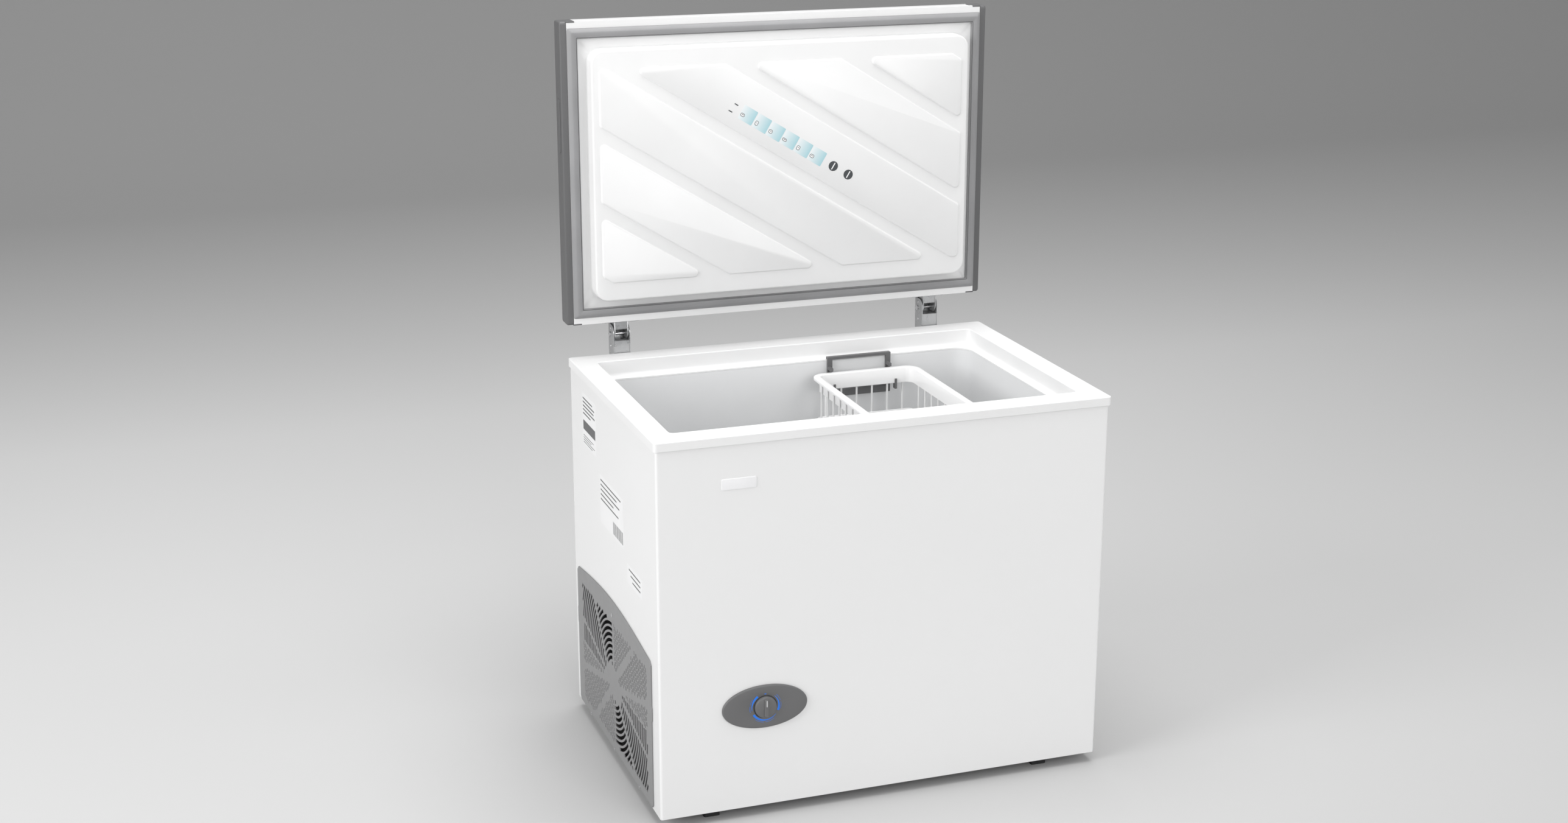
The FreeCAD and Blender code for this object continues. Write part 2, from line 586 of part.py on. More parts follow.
def grille_slots():
    """Slots of the side grille: arcs about the hub in two sectors, louvres in the others."""
    length = value("depth") - value("grille_front") - value("grille_back") - 2 * (value("grille_lap") + 14)
    tall = value("grille_height") - 2 * (value("grille_lap") + 12)
    pitch = value("slot_pitch")
    rib = value("rib_width")
    deep = 40.0
    field = Part.makeBox(deep, length, tall, Vector(-deep / 2, -length / 2, -tall / 2))
    reach = math.hypot(length, tall)

    def sector(low, high):
        turns = [math.radians(low), math.radians(high)]
        corners = [Vector(-deep / 2, 0, 0)]
        corners += [Vector(-deep / 2, reach * math.cos(a), reach * math.sin(a)) for a in turns]
        face = Part.Face(Part.makePolygon(corners + corners[:1]))
        return face.extrude(Vector(deep, 0, 0))

    cuts = []
    first = value("grille_height") / 7
    for low, high in ((28, 54), (54.8, 84), (208, 234), (234.8, 264)):
        wedge = sector(low + 1, high - 1).common(field)
        radius = first
        while radius < length / 2:
            ring = Part.makeCylinder(radius + pitch - rib, deep, Vector(-deep / 2, 0, 0), Vector(1, 0, 0))
            ring = ring.cut(Part.makeCylinder(radius, deep, Vector(-deep / 2, 0, 0), Vector(1, 0, 0)))
            piece = ring.common(wedge)
            cuts += [s for s in piece.Solids if s.Volume > 40 * deep]
            radius += pitch
    for low, high in ((88, 128), (132, 172), (176, 204), (268, 308), (312, 352), (-4, 24)):
        wedge = sector(low, high).common(field)
        hub = Part.makeCylinder(first, deep, Vector(-deep / 2, 0, 0), Vector(1, 0, 0))
        wedge = wedge.cut(hub)
        across = -length / 2 + pitch / 2
        while across < length / 2:
            slot = Part.makeBox(deep, pitch - rib - 1, tall, Vector(-deep / 2, across, -tall / 2))
            cuts += [s for s in slot.common(wedge).Solids if s.Volume > 60 * deep]
            across += pitch
    return Part.makeCompound(cuts)


def side_grille():
    """Grey louvred cover of the machine room, with a rim that fits in the shell window."""
    body = new_body("grille_body", f"-{SHELL_X}", GRILLE_Y, "foot_height + grille_height / 2")
    face = rectangle(new_sketch(body, "YZ", "-grille_sheet"), "grille_length", "grille_height",
                     "grille_corner")
    pad(body, face, "grille_sheet - gap / 2")
    fit = "(2 * grille_lap + 2 * gap)"
    rim = rectangle(new_sketch(body, "YZ", "-grille_sheet"), f"grille_length - {fit}",
                    f"grille_height - {fit}")
    pad(body, rim, "grille_sheet + grille_rim")
    hollow = rectangle(new_sketch(body, "YZ", "grille_rim"), f"grille_length - {fit} - 5",
                       f"grille_height - {fit} - 5")
    pocket(body, hollow, "grille_rim")
    slots = formed("grille_slot_set", grille_slots(), f"-{SHELL_X}", GRILLE_Y,
                   "foot_height + grille_height / 2")
    keep(cut("side_grille_cut", body, [slots]), "side_grille")
    heads = []
    for index, (y, z) in enumerate((("0", "1"), ("0", "-1"), ("grille_length / 3", "-1"),
                                    ("-grille_length / 3", "-1"))):
        up = f"foot_height + grille_height / 2 + {z} * (grille_height / 2 - grille_lap / 2)"
        heads.append(cylinder(f"grille_screw_{index}", f"-{SHELL_X} - grille_sheet - 1",
                              f"{GRILLE_Y} + {y}", up, "screw_head", "1", "X"))
    keep(group("grille_screw_group", heads), "grille_screws")


def controls():
    """Elliptical bezel, thermostat behind it, and the knob that turns."""
    centre_z = "(foot_height + dial_z)"
    outline = doc.addObject("Part::Ellipse", "bezel_outline")
    outline.Placement = Placement(Vector(), Rotation(Vector(1, 0, 0), 90))
    bind(outline, MajorRadius="bezel_length / 2", MinorRadius="bezel_width / 2")
    place(outline, "dial_x", f"{SHELL_FRONT} - gap / 3", centre_z)
    plate = doc.addObject("Part::Extrusion", "bezel_plate")
    plate.Base = outline
    plate.DirMode = "Custom"
    plate.Dir = Vector(0, -1, 0)
    plate.Solid = True
    bind(plate, LengthFwd="bezel_proud - gap / 3")
    well = cylinder("bezel_well", "dial_x", f"{SHELL_FRONT} - bezel_proud - 1", centre_z,
                    "knob_radius + 1.5", "3.5", "Y")
    hole = cylinder("bezel_hole", "dial_x", f"{SHELL_FRONT} - 2 * bezel_proud", centre_z,
                    "shaft_radius + shaft_fit", "4 * bezel_proud", "Y")
    keep(cut("control_bezel_cut", plate, [well, hole]), "control_bezel")

    disc_ = cylinder("knob_disc", "dial_x", f"{SHELL_FRONT} - bezel_proud - knob_length * 0.6", centre_z,
                     "knob_radius", "knob_length * 0.6 + 2", "Y")
    ridge = box("knob_ridge", "dial_x - 4", f"{SHELL_FRONT} - bezel_proud - knob_length",
                f"{centre_z} - knob_radius * 0.85", "8", "knob_length", "knob_radius * 1.7")
    bore = cylinder("knob_bore", "dial_x", f"{SHELL_FRONT} - bezel_proud - 3", centre_z,
                    "shaft_radius + gap / 2", "bezel_proud + 9", "Y")
    keep(cut("knob_cut", join("knob_blank", [disc_, ridge]), [bore]), "thermostat_knob")
    keep(cylinder("shaft_rod", "dial_x", f"{SHELL_FRONT} - bezel_proud - 2.5", centre_z, "shaft_radius",
                  "bezel_proud + 12", "Y"), "thermostat_shaft")

    case = box("thermostat_case", "dial_x - 18", f"{SHELL_FRONT} + skin + gap + 1.5",
               f"{centre_z} - 22", "36", "30", "44")
    shaft_room = cylinder("thermostat_bore", "dial_x", f"{SHELL_FRONT} - 5", centre_z,
                          "shaft_radius + shaft_fit", "20", "Y")
    keep(cut("thermostat_cut", case, [shaft_room]), "thermostat_housing")
    points = [(0, 0, 0), (0, 25, 0), (-60, 60, 10), (-90, 160, 40), (-90, 300, 80), (-60, 420, 85)]
    keep(formed("bulb_line", tube(points, 18, 1.2), "dial_x", f"{SHELL_FRONT} + skin + gap + 32",
                centre_z), "sensing_line")
    keep(box("badge_sheet", "badge_x - badge_length / 2", f"{SHELL_FRONT} - 1.3",
             "foot_height + badge_z - badge_height / 2", "badge_length", "1.2", "badge_height"),
         "badge_plate")


# ---- machine room ------------------------------------------------------------------------------
def compressor():
    """Hermetic compressor on rubber grommets, with its cover and pipe stubs."""
    y = f"({FRONT} + compressor_y)"
    z = "(foot_height + compressor_rise)"
    dome = doc.addObject("Part::Ellipsoid", "compressor_dome")
    bind(dome, Radius1="dome_height", Radius2="dome_width", Radius3="dome_length")
    dome.Angle1, dome.Angle2, dome.Angle3 = -90, 90, 360
    place(dome, "compressor_x", y, z)
    seam = doc.addObject("Part::Ellipsoid", "compressor_seam_form")
    bind(seam, Radius1="dome_height", Radius2="dome_width + seam_lip", Radius3="dome_length + seam_lip")
    seam.Angle1, seam.Angle2, seam.Angle3 = -90, 90, 360
    place(seam, "compressor_x", y, z)
    slab = box("compressor_slab", "compressor_x - 2 * dome_width", f"{y} - 2 * dome_length",
               f"{z} + seam_lip", "4 * dome_width", "4 * dome_length", "seam_lip + 1")
    band = doc.addObject("Part::Common", "compressor_seam")
    band.Base = seam
    band.Tool = slab
    neck = cylinder("compressor_neck", "compressor_x", y, "foot_height + bracket_rise + bracket_sheet",
                    "dome_width / 1.8", "dome_height / 2.5")
    keep(join("compressor_join", [dome, band, neck]), "compressor_shell")

    under = "(foot_height + bracket_rise)"
    plate = box("bracket_plate", "compressor_x - bracket_width / 2", f"{y} - bracket_length / 2", under,
                "bracket_width", "bracket_length", "bracket_sheet")
    corners = [(x, w) for x in ("-bolt_x", "bolt_x") for w in ("-bolt_y", "bolt_y")]
    holes = [cylinder(f"bracket_hole_{i}", f"compressor_x + {x}", f"{y} + {w}", f"{under} - 3",
                      "bolt_stem + grommet_wall + gap / 3", "9") for i, (x, w) in enumerate(corners)]
    keep(cut("bracket_cut", plate, holes), "compressor_bracket")
    rubbers, bolts = [], []
    for i, (x, w) in enumerate(corners):
        cx, cy = f"compressor_x + {x}", f"{y} + {w}"
        tray_top = "(foot_height + 3 * skin)"
        low = cylinder(f"grommet_low_{i}", cx, cy, tray_top, "2 * bolt_stem + bracket_sheet * 2",
                       "bracket_rise - 3 * skin - 0.2")
        waist = cylinder(f"grommet_waist_{i}", cx, cy, tray_top, "bolt_stem + grommet_wall - 0.1",
                         "bracket_rise")
        bore = cylinder(f"grommet_bore_{i}", cx, cy, "foot_height", "bolt_stem + 0.1", "2 * foot_height")
        rubbers.append(cut(f"grommet_{i}", join(f"grommet_blank_{i}", [low, waist]), [bore]))
        head_z = f"({under} + bracket_sheet + 1.3)"
        stem = cylinder(f"bolt_stem_{i}", cx, cy, f"{tray_top} + 0.1", "bolt_stem",
                        f"{head_z} - {tray_top} + 1")
        head = cylinder(f"bolt_head_{i}", cx, cy, head_z, "bolt_head", "screw_head")
        bolts.append(join(f"bolt_{i}", [stem, head]))
    keep(group("grommet_group", rubbers), "compressor_grommets")
    keep(group("bolt_group", bolts), "compressor_bolts")
    keep(box("relay_box", "compressor_x - relay_width / 2",
             f"{y} - dome_length - seam_lip - relay_depth - 1.5", f"{z} - relay_depth", "relay_width",
             "relay_depth", "relay_height"), "terminal_cover")


def pipework():
    """Refrigerant circuit: drier, lines, front condenser and evaporator round the tub."""
    bend = 14.0
    radius = value("coil_tube")
    room_x = value("machine_width") - value("width") / 2 + value("side_inset")
    dome_x = value("compressor_inset") - value("width") / 2
    drop = 40.0
    # Discharge line, from the compressor's front top to the condenser outlet in the room's wall.
    wall = room_x - dome_x
    out_y = value("side_inset") + value("skin") + value("gap") + value("condenser_space") / 2
    out_z = 90.0 - value("compressor_rise")
    out_y -= value("compressor_y")
    points = [(25, -20, 70.5), (25, -20, 110), (75, -80, 110), (75, out_y, 60), (75, out_y, out_z),
              (wall + 0.5, out_y, out_z)]
    keep(formed("discharge_tube", tube(points, bend, radius), "compressor_x", f"{FRONT} + compressor_y",
                "foot_height + compressor_rise"), "discharge_line")
    # Condenser: upright serpentine behind the front skin.
    far = value("width") / 2 - value("side_inset") - 40.0
    turns = 6
    step = (far - room_x - 50.0) / (turns - 1)
    high = value("height") - 5 * value("foot_height") - 90.0
    points = [(0, 0, 0)]
    for turn in range(turns):
        x = 50.0 + turn * step
        low, top = (0.0, high) if turn % 2 == 0 else (high, 0.0)
        points += [(x, 0, low), (x, 0, top)]
    keep(formed("condenser_tube", tube(points, 20.0, radius), f"{ROOM_X} + 1", CONDENSER_Y, CONDENSER_LOW),
         "condenser_coil")
    # Evaporator: rising turns round the tub, then down through the foam into the machine room.
    half_x = (value("width") - 2 * value("collar_side") - 2 * value("ledge")) / 2
    half_y = (value("depth") - 2 * value("collar_end") - 2 * value("ledge")) / 2
    out = value("liner") + value("gap") + value("coil_space") / 2
    half_x += out
    half_y += out
    step_z = value("foot_height") + value("machine_height") + value("step_wall")
    base = step_z + 2 * value("coil_space") + 22.0
    room_top = value("foot_height") + value("machine_height")
    riser_y = (value("depth") - 2 * value("collar_end") - 2 * value("ledge")) / 4
    top = value("foot_height") + value("height") - value("recess_depth") - value("collar_wall")
    loops = 5
    rise = (top - value("coil_space") - base - 16.0) / (4 * loops)
    corners = [(-half_x, -half_y), (half_x, -half_y), (half_x, half_y), (-half_x, half_y)]
    points = [(-half_x, riser_y, room_top + 2.0), (-half_x, riser_y, base)]
    for index in range(4 * loops):
        x, y = corners[index % 4]
        points.append((x, y, base + (index + 1) * rise))
    keep(formed("evaporator_tube", tube(points, 20.0, radius), "0", MIDDLE, "0"), "evaporator_coil")
    # Suction line, from the evaporator tail at the room's roof to the compressor's back.
    tail_x = -half_x - dome_x
    tail_y = value("depth") / 2 + riser_y - value("compressor_y")
    tail_z = room_top - 2.0 - value("foot_height") - value("compressor_rise")
    points = [(tail_x, tail_y, tail_z), (tail_x, tail_y, tail_z - drop), (15, tail_y - 20, tail_z - drop),
              (15, 30, tail_z - 2 * drop), (15, 30, 71.5)]
    keep(formed("suction_tube", tube(points, bend, radius), "compressor_x", f"{FRONT} + compressor_y",
                "foot_height + compressor_rise"), "suction_line")
    # Filter drier, upright at the back of the room, and the capillary that leaves it.
    drier = Part.makeCylinder(11, 90, Vector(0, 0, 12))
    drier = drier.fuse(Part.makeCone(4, 11, 12)).fuse(Part.makeCone(11, 4, 12, Vector(0, 0, 102)))
    keep(formed("drier_body", drier.removeSplitter(), "compressor_x + 70", f"{FRONT} + compressor_y + 230",
                "foot_height + 90"), "filter_drier")
    points = [(0, 0, 0), (0, 0, 30), (-40, 30, 60), (-80, 30, 30), (-40, -20, 20), (-20, -60, 60)]
    keep(formed("capillary", tube(points, 9.0, 1.2), "compressor_x + 70", f"{FRONT} + compressor_y + 230",
                "foot_height + 204.2"), "capillary_tube")
    keep(cut("gland_cut", join("gland_blank", [
        cylinder("gland_flange", GLAND_X, f"{SHELL_BACK} + gap / 3", GLAND_Z, "12", "4", "Y"),
        cylinder("gland_neck", GLAND_X, f"{SHELL_BACK} - 6", GLAND_Z, "8", "8", "Y")]),
        [cylinder("gland_bore", GLAND_X, f"{SHELL_BACK} - 9", GLAND_Z, "3.6", "20", "Y")]), "cord_gland")


# ---- hinges ------------------------------------------------------------------------------------
def hinge(side, sign):
    """One counterbalanced hinge: channel, spring, plunger and the arm on the lid."""
    x = f"({sign} * hinge_x)"
    body = new_body(side + "_channel_body", x, PIN_Y, PIN_Z)
    inside = "(channel_width - 2 * channel_wall)"
    tall = "(channel_drop + channel_rise)"
    deep = "(channel_front + channel_back)"
    outline = new_sketch(body, "YZ", x="(channel_back - channel_front) / 2",
                         y="(channel_rise - channel_drop) / 2")
    pad(body, rectangle(outline, deep, tall), "channel_width", both=True)
    hollow = new_sketch(body, "YZ", x="(channel_back - channel_front) / 2 - channel_wall",
                        y="(channel_rise - channel_drop) / 2")
    pocket(body, rectangle(hollow, deep, f"{tall} + 10"), inside, both=True)
    eye = new_sketch(body, "YZ")
    pocket(body, disc(eye, "pin_radius"), "2 * channel_width", both=True)

    def nose(edge):
        """The short front edges on top of the two flanges."""
        short = edge.BoundBox.XLength < 2 * value("channel_wall")
        at_front = flat_at(edge, "Y", -value("channel_front"))
        return short and at_front and flat_at(edge, "Z", value("channel_rise"))

    soften(body, "channel_rise * 0.8", nose)
    wall = f"({SHELL_BACK} + gap / 3)"
    pieces = [body]
    tools = []
    for index, drop in enumerate(("channel_drop - 34", "channel_drop / 2")):
        low = f"{PIN_Z} - ({drop}) - 26"
        pieces.append(box(f"{side}_ear_{index}", f"{x} - channel_width", wall, low,
                          "2 * channel_width", "channel_wall", "26"))
        reach = f"{PIN_Y} - channel_front - {wall} + 1"
        for name, at in (("a", f"{x} - channel_width / 2"),
                         ("b", f"{x} + channel_width / 2 - channel_wall")):
            pieces.append(box(f"{side}_web_{index}{name}", at, wall, low, "channel_wall", reach, "26"))
        for way in ("-", "+"):
            tools.append(cylinder(f"{side}_hole_{index}{'ab'[way == '+']}",
                                  f"{x} {way} channel_width * 0.76", f"{wall} - 2", f"{low} + 13", "2.6",
                                  "6", "Y"))
    pieces.append(box(side + "_seat", f"{x} - {inside} / 2 - 0.5", f"{PIN_Y} - channel_front",
                      f"{PIN_Z} - seat_drop - channel_wall", f"{inside} + 1", f"{deep} - 1", "channel_wall"))
    keep(cut(side + "_channel_cut", join(side + "_channel_join", pieces), tools), side + "_hinge_channel")

    travel = value("cam_travel") / (math.pi / 2)
    base = value("cam_base")
    hub = base - 0.4
    flank = []
    for index in range(7):
        turn = index * math.pi / 12
        y, z = -travel, -(base + travel * turn)
        flank.append(Vector(0, y * math.cos(turn) + z * math.sin(turn),
                            z * math.cos(turn) - y * math.sin(turn)))
    curve = Part.BSplineCurve()
    curve.interpolate(flank)
    plate_z = value("lid_near") - value("arm_sheet")
    slant = math.sqrt(0.5)
    front = Vector(0, -value("arm_front"), plate_z)
    back = Vector(0, value("arm_back"), plate_z)
    edges = [curve.toShape(), Part.makeLine(flank[-1], front), Part.makeLine(front, back),
             Part.makeLine(back, Vector(0, hub, 0)),
             Part.Arc(Vector(0, hub, 0), Vector(0, hub * slant, -hub * slant), Vector(0, 0, -hub)).toShape(),
             Part.makeLine(Vector(0, 0, -hub), flank[0])]
    face = Part.Face(Part.Wire(edges))
    half = value("arm_width") / 2
    thick = value("arm_sheet")
    width = value("arm_plate")
    cheeks = [face.extrude(Vector(thick, 0, 0)).translate(Vector(at, 0, 0)) for at in (-half, half - thick)]
    plate = Part.makeBox(width, value("arm_front") + value("arm_back"), thick,
                         Vector(-width / 2, -value("arm_front"), plate_z))
    web = Part.makeBox(2 * half, thick, plate_z - 14, Vector(-half, -value("arm_front"), 14))
    arm = plate.fuse(cheeks + [web])
    bore = Part.makeCylinder(value("pin_radius") + value("pin_fit"), 2 * width, Vector(-width, 0, 0),
                             Vector(1, 0, 0))
    arm = arm.cut(bore)
    for at in (-width / 2 + 8.5, width / 2 - 8.5):
        arm = arm.cut(Part.makeCylinder(2.6, 20, Vector(at, -9, plate_z - 9)))
    keep(formed(side + "_arm", arm.removeSplitter(), x, PIN_Y, PIN_Z), side + "_hinge_arm")

    head_z = f"({PIN_Z} - cam_base - gap)"
    head = box(side + "_plunger_head", f"{x} - {inside} / 2 + gap", f"{PIN_Y} - channel_front + gap",
               f"{head_z} - plunger_height", f"{inside} - 2 * gap", f"{deep} - channel_wall - 2 * gap",
               "plunger_height")
    axis_y = f"({PIN_Y} + (channel_back - channel_wall - channel_front) / 2)"
    boss = cylinder(side + "_plunger_boss", x, axis_y, f"{head_z} - plunger_height - 14",
                    "spring_radius - spring_wire - gap", "15")
    keep(join(side + "_plunger_join", [head, boss]), side + "_plunger")

    length = (value("seat_drop") - value("cam_base") - value("gap") - value("plunger_height") - 0.4)
    turns = 11
    wire = value("spring_wire")
    helix = Part.makeHelix((length - 2 * wire) / turns, length - 2 * wire, value("spring_radius"))
    ring = Part.Wire([Part.makeCircle(wire, Vector(value("spring_radius"), 0, 0), Vector(0, 1, 0))])
    coil = Part.Wire(helix).makePipeShell([ring], True, True)
    keep(formed(side + "_spring", coil, x, axis_y, f"{PIN_Z} - seat_drop + 0.2 + spring_wire"),
         side + "_hinge_spring")


def hinge_fasteners():
    """Hinge pins with two heads, and the screws of the channels and arms."""
    pins, screws, lid_screws = [], [], []
    for side, sign in (("left", "-1"), ("right", "1")):
        x = f"({sign} * hinge_x)"
        stem = cylinder(side + "_pin_stem", f"{x} - channel_width / 2 - 1", PIN_Y, PIN_Z, "pin_radius",
                        "channel_width + 2", "X")
        heads = [cylinder(f"{side}_pin_head_{name}", at, PIN_Y, PIN_Z, "pin_radius + 2", "2", "X")
                 for name, at in (("a", f"{x} - channel_width / 2 - 2"), ("b", f"{x} + channel_width / 2"))]
        pins.append(join(side + "_pin", [stem] + heads))
        for index, drop in enumerate(("channel_drop - 34", "channel_drop / 2")):
            for way in ("-", "+"):
                screws.append(cylinder(f"{side}_screw_{index}{'ab'[way == '+']}",
                                       f"{x} {way} channel_width * 0.76",
                                       f"{SHELL_BACK} + gap / 3 + channel_wall",
                                       f"{PIN_Z} - ({drop}) - 13", "screw_head", "2.5", "Y"))
        for way in ("-", "+"):
            lid_screws.append(cylinder(f"{side}_lid_screw{'ab'[way == '+']}",
                                       f"{x} {way} (arm_plate / 2 - 8.5)", f"{PIN_Y} - 9",
                                       f"{LID_LOW} - arm_sheet - 2.6", "screw_head", "2.5"))
    keep(group("pin_group", pins), "hinge_pins")
    keep(group("screw_group", screws), "hinge_screws")
    keep(group("lid_screw_group", lid_screws), "lid_hinge_screws")


# ---- lid ---------------------------------------------------------------------------------------
def lid():
    """Lid in its open, upright position: skin, foam, inner panel, gasket, caps and edge profiles."""
    side = f"({CAP_X} - gap)"
    back = f"({PIN_Y} + pin_to_skin)"
    body = new_body("lid_skin_body", "0", back, LID_MIDDLE)
    pad(body, rectangle(new_sketch(body, "XZ"), f"2 * {side}", "lid_length - 2 * skin - 2 * gap", "5"),
        "lid_thickness - 8")
    pocket(body, rectangle(new_sketch(body, "XZ", "skin"), f"2 * {side} + 20",
                           "lid_length - 4 * skin - 2 * gap"), "lid_thickness", back=True)
    keep(body, "lid_outer_skin")

    main = box("lid_foam_main", f"-{side}", f"{RING_Y} + plug_wall + gap", f"{LID_LOW} + 3 * skin",
               f"2 * {side}", "lid_thickness - plug_wall - 2 * gap - skin", "lid_length - 6 * skin")
    plug = box("lid_foam_plug", "-(plug_width / 2 - plug_wall - gap)",
               f"{GASKET_Y} - plug_proud + plug_wall + gap", f"{PIN_Z} + plug_start + plug_wall + gap",
               "plug_width - 2 * plug_wall - 2 * gap", "plug_proud + gasket_proud",
               "plug_length - 2 * plug_wall - 2 * gap")
    rounded = cut("lid_foam_cut", join("lid_foam_join", [main, plug]), foam_corners())
    keep(rounded, "lid_foam")

    panel = new_body("lid_panel_body", "0", RING_Y, f"{PIN_Z} + plug_start + plug_length / 2")
    shift = f"{LID_MIDDLE} - ({PIN_Z} + plug_start + plug_length / 2)"
    sheet_ = rectangle(new_sketch(panel, "XZ", "-plug_wall", y=shift), f"2 * {side}",
                       "lid_length - 2 * edge_band - 2 * gap")
    pad(panel, sheet_, "plug_wall")
    pad(panel, rectangle(new_sketch(panel, "XZ"), "plug_width", "plug_length", "plug_corner"),
        "plug_proud + gasket_proud")
    hollow = rectangle(new_sketch(panel, "XZ", "-plug_wall"), "plug_width - 2 * plug_wall",
                       "plug_length - 2 * plug_wall", "plug_corner - plug_wall")
    pocket(panel, hollow, "plug_proud + gasket_proud", back=True)
    keep(join("lid_panel_join", [panel, pads()]), "lid_inner_panel")

    ring = new_body("gasket_body", "0", RING_Y, LID_MIDDLE)
    outer = (f"2 * {CAP_X} - 2 * gap", "lid_length - 2 * edge_band")
    pad(ring, rectangle(new_sketch(ring, "XZ", "gap / 3"), *outer), "gasket_proud - gap / 3")
    pocket(ring, rectangle(new_sketch(ring, "XZ", "-1"), outer[0] + " - 2 * gasket_side",
                           outer[1] + " - 2 * gasket_side"), "4 * gasket_proud", back=True)
    groove = new_sketch(ring, "XZ", "gap / 3")
    rectangle(groove, outer[0] + " - 10", outer[1] + " - 10", tag="_outer")
    rectangle(groove, outer[0] + " - 2 * gasket_side + 10", outer[1] + " - 2 * gasket_side + 10",
              tag="_inner")
    pocket(ring, groove, "5", back=True)
    keep(ring, "lid_gasket")
    strip = new_body("magnet_body", "0", RING_Y, LID_MIDDLE)
    band = new_sketch(strip, "XZ", "1.5")
    rectangle(band, outer[0] + " - 10.6", outer[1] + " - 10.6", tag="_outer")
    rectangle(band, outer[0] + " - 2 * gasket_side + 10.6", outer[1] + " - 2 * gasket_side + 10.6",
              tag="_inner")
    pad(strip, band, "2.6")
    keep(strip, "gasket_magnet")

    for name, at in (("left", "-1"), ("right", "1")):
        cap = new_body(name + "_cap_body", f"{at} * (width / 2 - cap_inset - cap_width / 2)", RING_Y,
                       LID_MIDDLE)
        pad(cap, rectangle(new_sketch(cap, "XZ"), "cap_width", "lid_length", "cap_width / 3"),
            "lid_thickness", back=True)
        grip = box(name + "_grip", f"{at} * (width / 2 - cap_inset / 2 - 0.5) - cap_inset / 2 - 0.5",
                   f"{RING_Y} + lid_thickness / 4", f"{LID_MIDDLE} + 46", "cap_inset + 1",
                   "lid_thickness / 2", "110")
        keep(join(name + "_cap_join", [cap, grip]), f"lid_cap_{name}")
    for name, low, lip in (("back", LID_LOW, LID_LOW),
                           ("front", f"({LID_HIGH} - edge_band)", f"({LID_HIGH} - 2)")):
        face = box(name + "_profile_face", f"-{side}", RING_Y, low, f"2 * {side}", "2", "edge_band")
        wall = box(name + "_profile_wall", f"-{side}", RING_Y, lip, f"2 * {side}", "8 - gap", "2")
        keep(join(name + "_profile_join", [face, wall]), f"lid_{name}_profile")


def foam_corners():
    """Corner blocks that leave room for the round corners of the hollow plug."""
    tools = []
    reach = "plug_corner"
    for i, (sx, sz) in enumerate(((-1, -1), (-1, 1), (1, -1), (1, 1))):
        x = f"{sx} * (plug_width / 2 - {reach} / 2) - {reach} / 2"
        z = f"{PIN_Z} + plug_start + plug_length / 2 + {sz} * (plug_length / 2 - {reach} / 2) - {reach} / 2"
        tools.append(box(f"foam_corner_{i}", x, f"{GASKET_Y} - plug_proud - 1", z, reach,
                         "plug_proud + gasket_proud + 1 + plug_wall + gap", reach))
    return tools


def pads():
    """Raised slanting pads on the plug face, cut off by one rectangular field."""
    face_y = f"({GASKET_Y} - plug_proud)"
    centre_z = f"({PIN_Z} + plug_start + plug_length / 2)"
    field = box("pad_field", "-pad_length / 2", f"{face_y} - pad_raise", f"{centre_z} - pad_height / 2",
                "pad_length", "pad_raise + plug_wall / 2", "pad_height")
    strips = []
    for index in range(-3, 4):
        strip = box(f"pad_strip_{index + 3}", "0", f"{face_y} - pad_raise", centre_z, "2 * pad_length",
                    "pad_raise + plug_wall", "pad_pitch - pad_channel")
        strip.Placement = Placement(Vector(), Rotation(Vector(0, 1, 0), 1))
        bind(strip, Placement__Rotation__Angle="pad_angle * 1 deg")
        along = "-pad_length"
        up = f"({index} * pad_pitch + pad_channel / 2)"
        place(strip, f"{along} * cos(pad_angle) + {up} * sin(pad_angle)", f"{face_y} - pad_raise",
              f"{centre_z} - {along} * sin(pad_angle) + {up} * cos(pad_angle)")
        strips.append(strip)
    made = doc.addObject("Part::Common", "pad_common")
    made.Base = join("pad_strips", strips)
    made.Tool = field
    return made


# ---- basket ------------------------------------------------------------------------------------
def basket():
    """Hanging basket: plastic rim, wire cage and the two hangers that slide on the ledge."""
    rim = new_body("rim_body", "basket_x", MIDDLE, RIM_TOP)
    pad(rim, rectangle(new_sketch(rim, offset="-rim_lip"), "basket_width", BASKET_LENGTH, "rim_corner"),
        "rim_lip")
    inner = ("basket_width - 2 * rim_ring", f"{BASKET_LENGTH} - 2 * rim_ring", "rim_corner - rim_ring")
    wall = tuple(f"{text} + {k} * rim_wall" for text, k in zip(inner, (2, 2, 1)))
    pad(rim, rectangle(new_sketch(rim, offset="-rim_band"), *wall), "rim_band")
    pocket(rim, rectangle(new_sketch(rim), *inner), "rim_band")
    keep(rim, "basket_rim")
    keep(formed("cage", wire_cage(), "basket_x", MIDDLE, RIM_TOP), "basket_wires")
    keep(clips(), "basket_clips")

    for name, sign in (("back", "1"), ("front", "-1")):
        keep(hanger(name, sign), "hanger_" + name)


